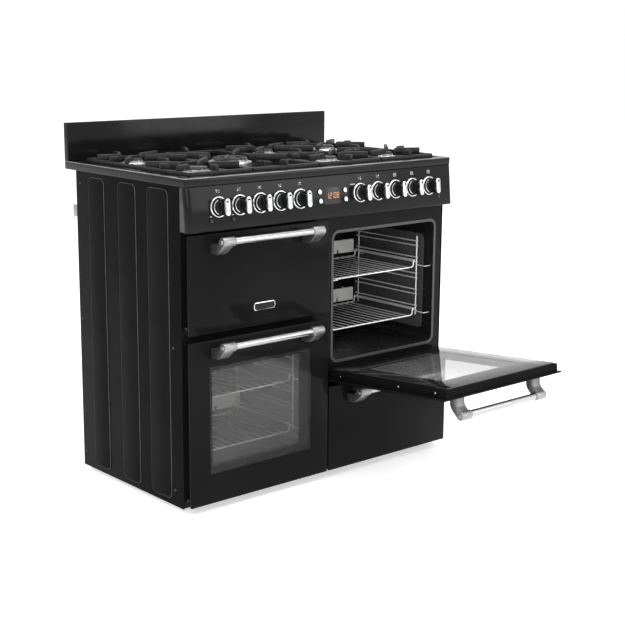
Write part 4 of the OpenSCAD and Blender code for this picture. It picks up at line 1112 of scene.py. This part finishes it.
# Bent and welded wires: two rails whose ends turn down into a low wire, with cross wires on it
def wireShelf(name, node, body, sideSign, z):
    curve = bpy.data.curves.new(name, "CURVE")
    curve.dimensions = "3D"
    curve.bevel_depth = rack["unit"]
    curve.bevel_resolution = 3
    curve.use_fill_caps = True
    x = sideSign * mouthX
    half = rack["x"] - rack["play"]
    near, far = cavityY + rack["near"], cavityY + rack["far"]
    low, dropX, middle = z - rack["dip"], half - rack["dropIn"], (near + far) / 2
    loop = [(x - half, middle, z), (x - half, near, z), (x - dropX, near, z), (x - dropX, near, low),
            (x + dropX, near, low), (x + dropX, near, z), (x + half, near, z), (x + half, far, z),
            (x + dropX, far, z), (x + dropX, far, low), (x - dropX, far, low), (x - dropX, far, z),
            (x - half, far, z), (x - half, middle, z)]
    addWirePath(curve, roundedPath(loop, rack["bend"]), rack["wire"])
    high, out = low + rack["crossUp"], rack["crossOut"]
    for i in range(1, rack["crossCount"] + 1):
        cx = x - dropX + i * 2 * dropX / (rack["crossCount"] + 1)
        line = [(cx, near - out, high), (cx, middle, high), (cx, far + out, high)]
        addWirePath(curve, line, rack["cross"])
    curve.materials.append(wire)
    drawn = linked(name, curve)
    mesh = bpy.data.meshes.new_from_object(drawn)
    bpy.data.objects.remove(drawn)
    mesh.name = name
    enterPiece(name, mesh, node, body, 60)


def shelfZ(low, level):
    return low + level * rack["pitch"] + rack["rail"]


wireShelf("upperShelf", "upper_shelf", "shelf_upper", 1, shelfZ(rack["rightLow"], 3))
wireShelf("lowerShelf", "lower_shelf", "shelf_lower", 1, shelfZ(rack["rightLow"], 0))
wireShelf("leftShelfLow", "left_shelves", "cooker", -1, shelfZ(rack["leftLow"], 0))
wireShelf("leftShelfHigh", "left_shelves", "cooker", -1, shelfZ(rack["leftLow"], 3))

lining = {"near": 0.036, "far": 0.352, "low": 0.032, "high": 0.044, "thick": 0.0026, "corner": 0.016}


def ovenLinings():
    bm = bmesh.new()
    near, far = cavityY + lining["near"], cavityY + lining["far"]
    for sideSign, key in ((1, "right"), (-1, "left")):
        low, high = oven[key + "Floor"] + lining["low"], oven[key + "Top"] - lining["high"]
        for sign in (-1, 1):
            wall = sideSign * mouthX + sign * oven["half"]
            face = wall - sign * lining["thick"]
            addPlate(bm, (min(wall, face), near, low), (max(wall, face), far, high),
                     0, lining["corner"], 0.0005, 5, 1)
    finishPiece("ovenLinings", bm, [liningGrey])


ovenLinings()

lamps = (  # side, floor, distance from the outer wall, width, height above the floor
    (1, oven["rightFloor"], 0.036, 0.086, 0.0835), (1, oven["rightFloor"], 0.036, 0.086, 0.2435),
    (-1, oven["leftFloor"], 0.006, 0.11, 0.0735),
)
lamp = {
    "front": 0.32, "thick": 0.008, "height": 0.042, "notch": 0.01, "notchX": 0.012, "notchUp": 0.013,
    "soft": 0.0008, "screwIn": 0.008, "screwUp": 0.024, "screwRadius": 0.0042, "screwOut": 0.0032,
    "socket": (0.038, 0.006, 0.004, 0.036),  # its left and bottom, and its right and top
}


def lampCovers():
    bm = bmesh.new()
    back, near, soft = cavityY + oven["depth"], cavityY + lamp["front"], lamp["soft"]
    far = near + lamp["thick"]
    left, bottom, right, top = lamp["socket"]
    for sideSign, floorZ, margin, width, up in lamps:
        x1 = sideSign * mouthX + oven["half"] - margin
        x0, z = x1 - width, floorZ + up
        split, notch = z + lamp["notchUp"], x0 + lamp["notchX"]
        addBlock(bm, (x0, near, split - 0.0006), (x1, far, z + lamp["height"]), 0.001)
        addBlock(bm, (x0, near, z), (notch, far, split), soft)
        addBlock(bm, (notch + lamp["notch"], near, z), (x1, far, split), soft)
        screwX, screwZ = x1 - lamp["screwIn"], z + lamp["screwUp"]
        addRod(bm, (screwX, near + 0.001, screwZ), (screwX, near - lamp["screwOut"], screwZ),
               lamp["screwRadius"], 20, 0.001)
        addPlate(bm, (x1 - left, far - 0.001, z + bottom), (x1 - right, back, z + top), 1, 0.004, 0, 4)
    finishPiece("lampCovers", bm, [lampGlass], "lamp_covers")


lampCovers()
print("ovens made")

# Stage and light

stage = {
    "size": 14, "glow": 0.42, "sky": 1.0,
    "lamps": (  # name, place, target, size, power
        ("overhead", (0.0, -0.3, 3.2), (0, 0, 0.5), 3.2, 70),
        ("frontLeft", (-3.4, -2.6, 2.2), (0, 0, 0.5), 2.4, 50),
        ("frontRight", (2.6, -3.6, 1.8), (0.2, 0, 0.5), 2.0, 35),
    ),
}


def stageAndLight():
    bm = bmesh.new()
    bmesh.ops.create_grid(bm, x_segments=2, y_segments=2, size=stage["size"])
    mesh = bpy.data.meshes.new("floor")
    bm.to_mesh(mesh)
    bm.free()
    mesh.materials.append(finish("floorPaint", color=grey(0.9), roughness=0.75, specular=0.1,
                                 glow=((1, 1, 1), stage["glow"])))
    linked("floor", mesh)
    world = bpy.data.worlds.new("studio")
    world.use_nodes = True
    world.node_tree.nodes["Background"].inputs["Color"].default_value = (1, 1, 1, 1)
    world.node_tree.nodes["Background"].inputs["Strength"].default_value = stage["sky"]
    bpy.context.scene.world = world
    for name, place, target, size, power in stage["lamps"]:
        data = bpy.data.lights.new(name, "AREA")
        data.size = size
        data.energy = power
        light = linked(name, data)
        light.location = place
        light.rotation_mode = "QUATERNION"
        light.rotation_quaternion = (Vector(target) - Vector(place)).to_track_quat("-Z", "Y")
    bpy.context.scene.view_settings.view_transform = "Standard"


stageAndLight()
print("stage made")
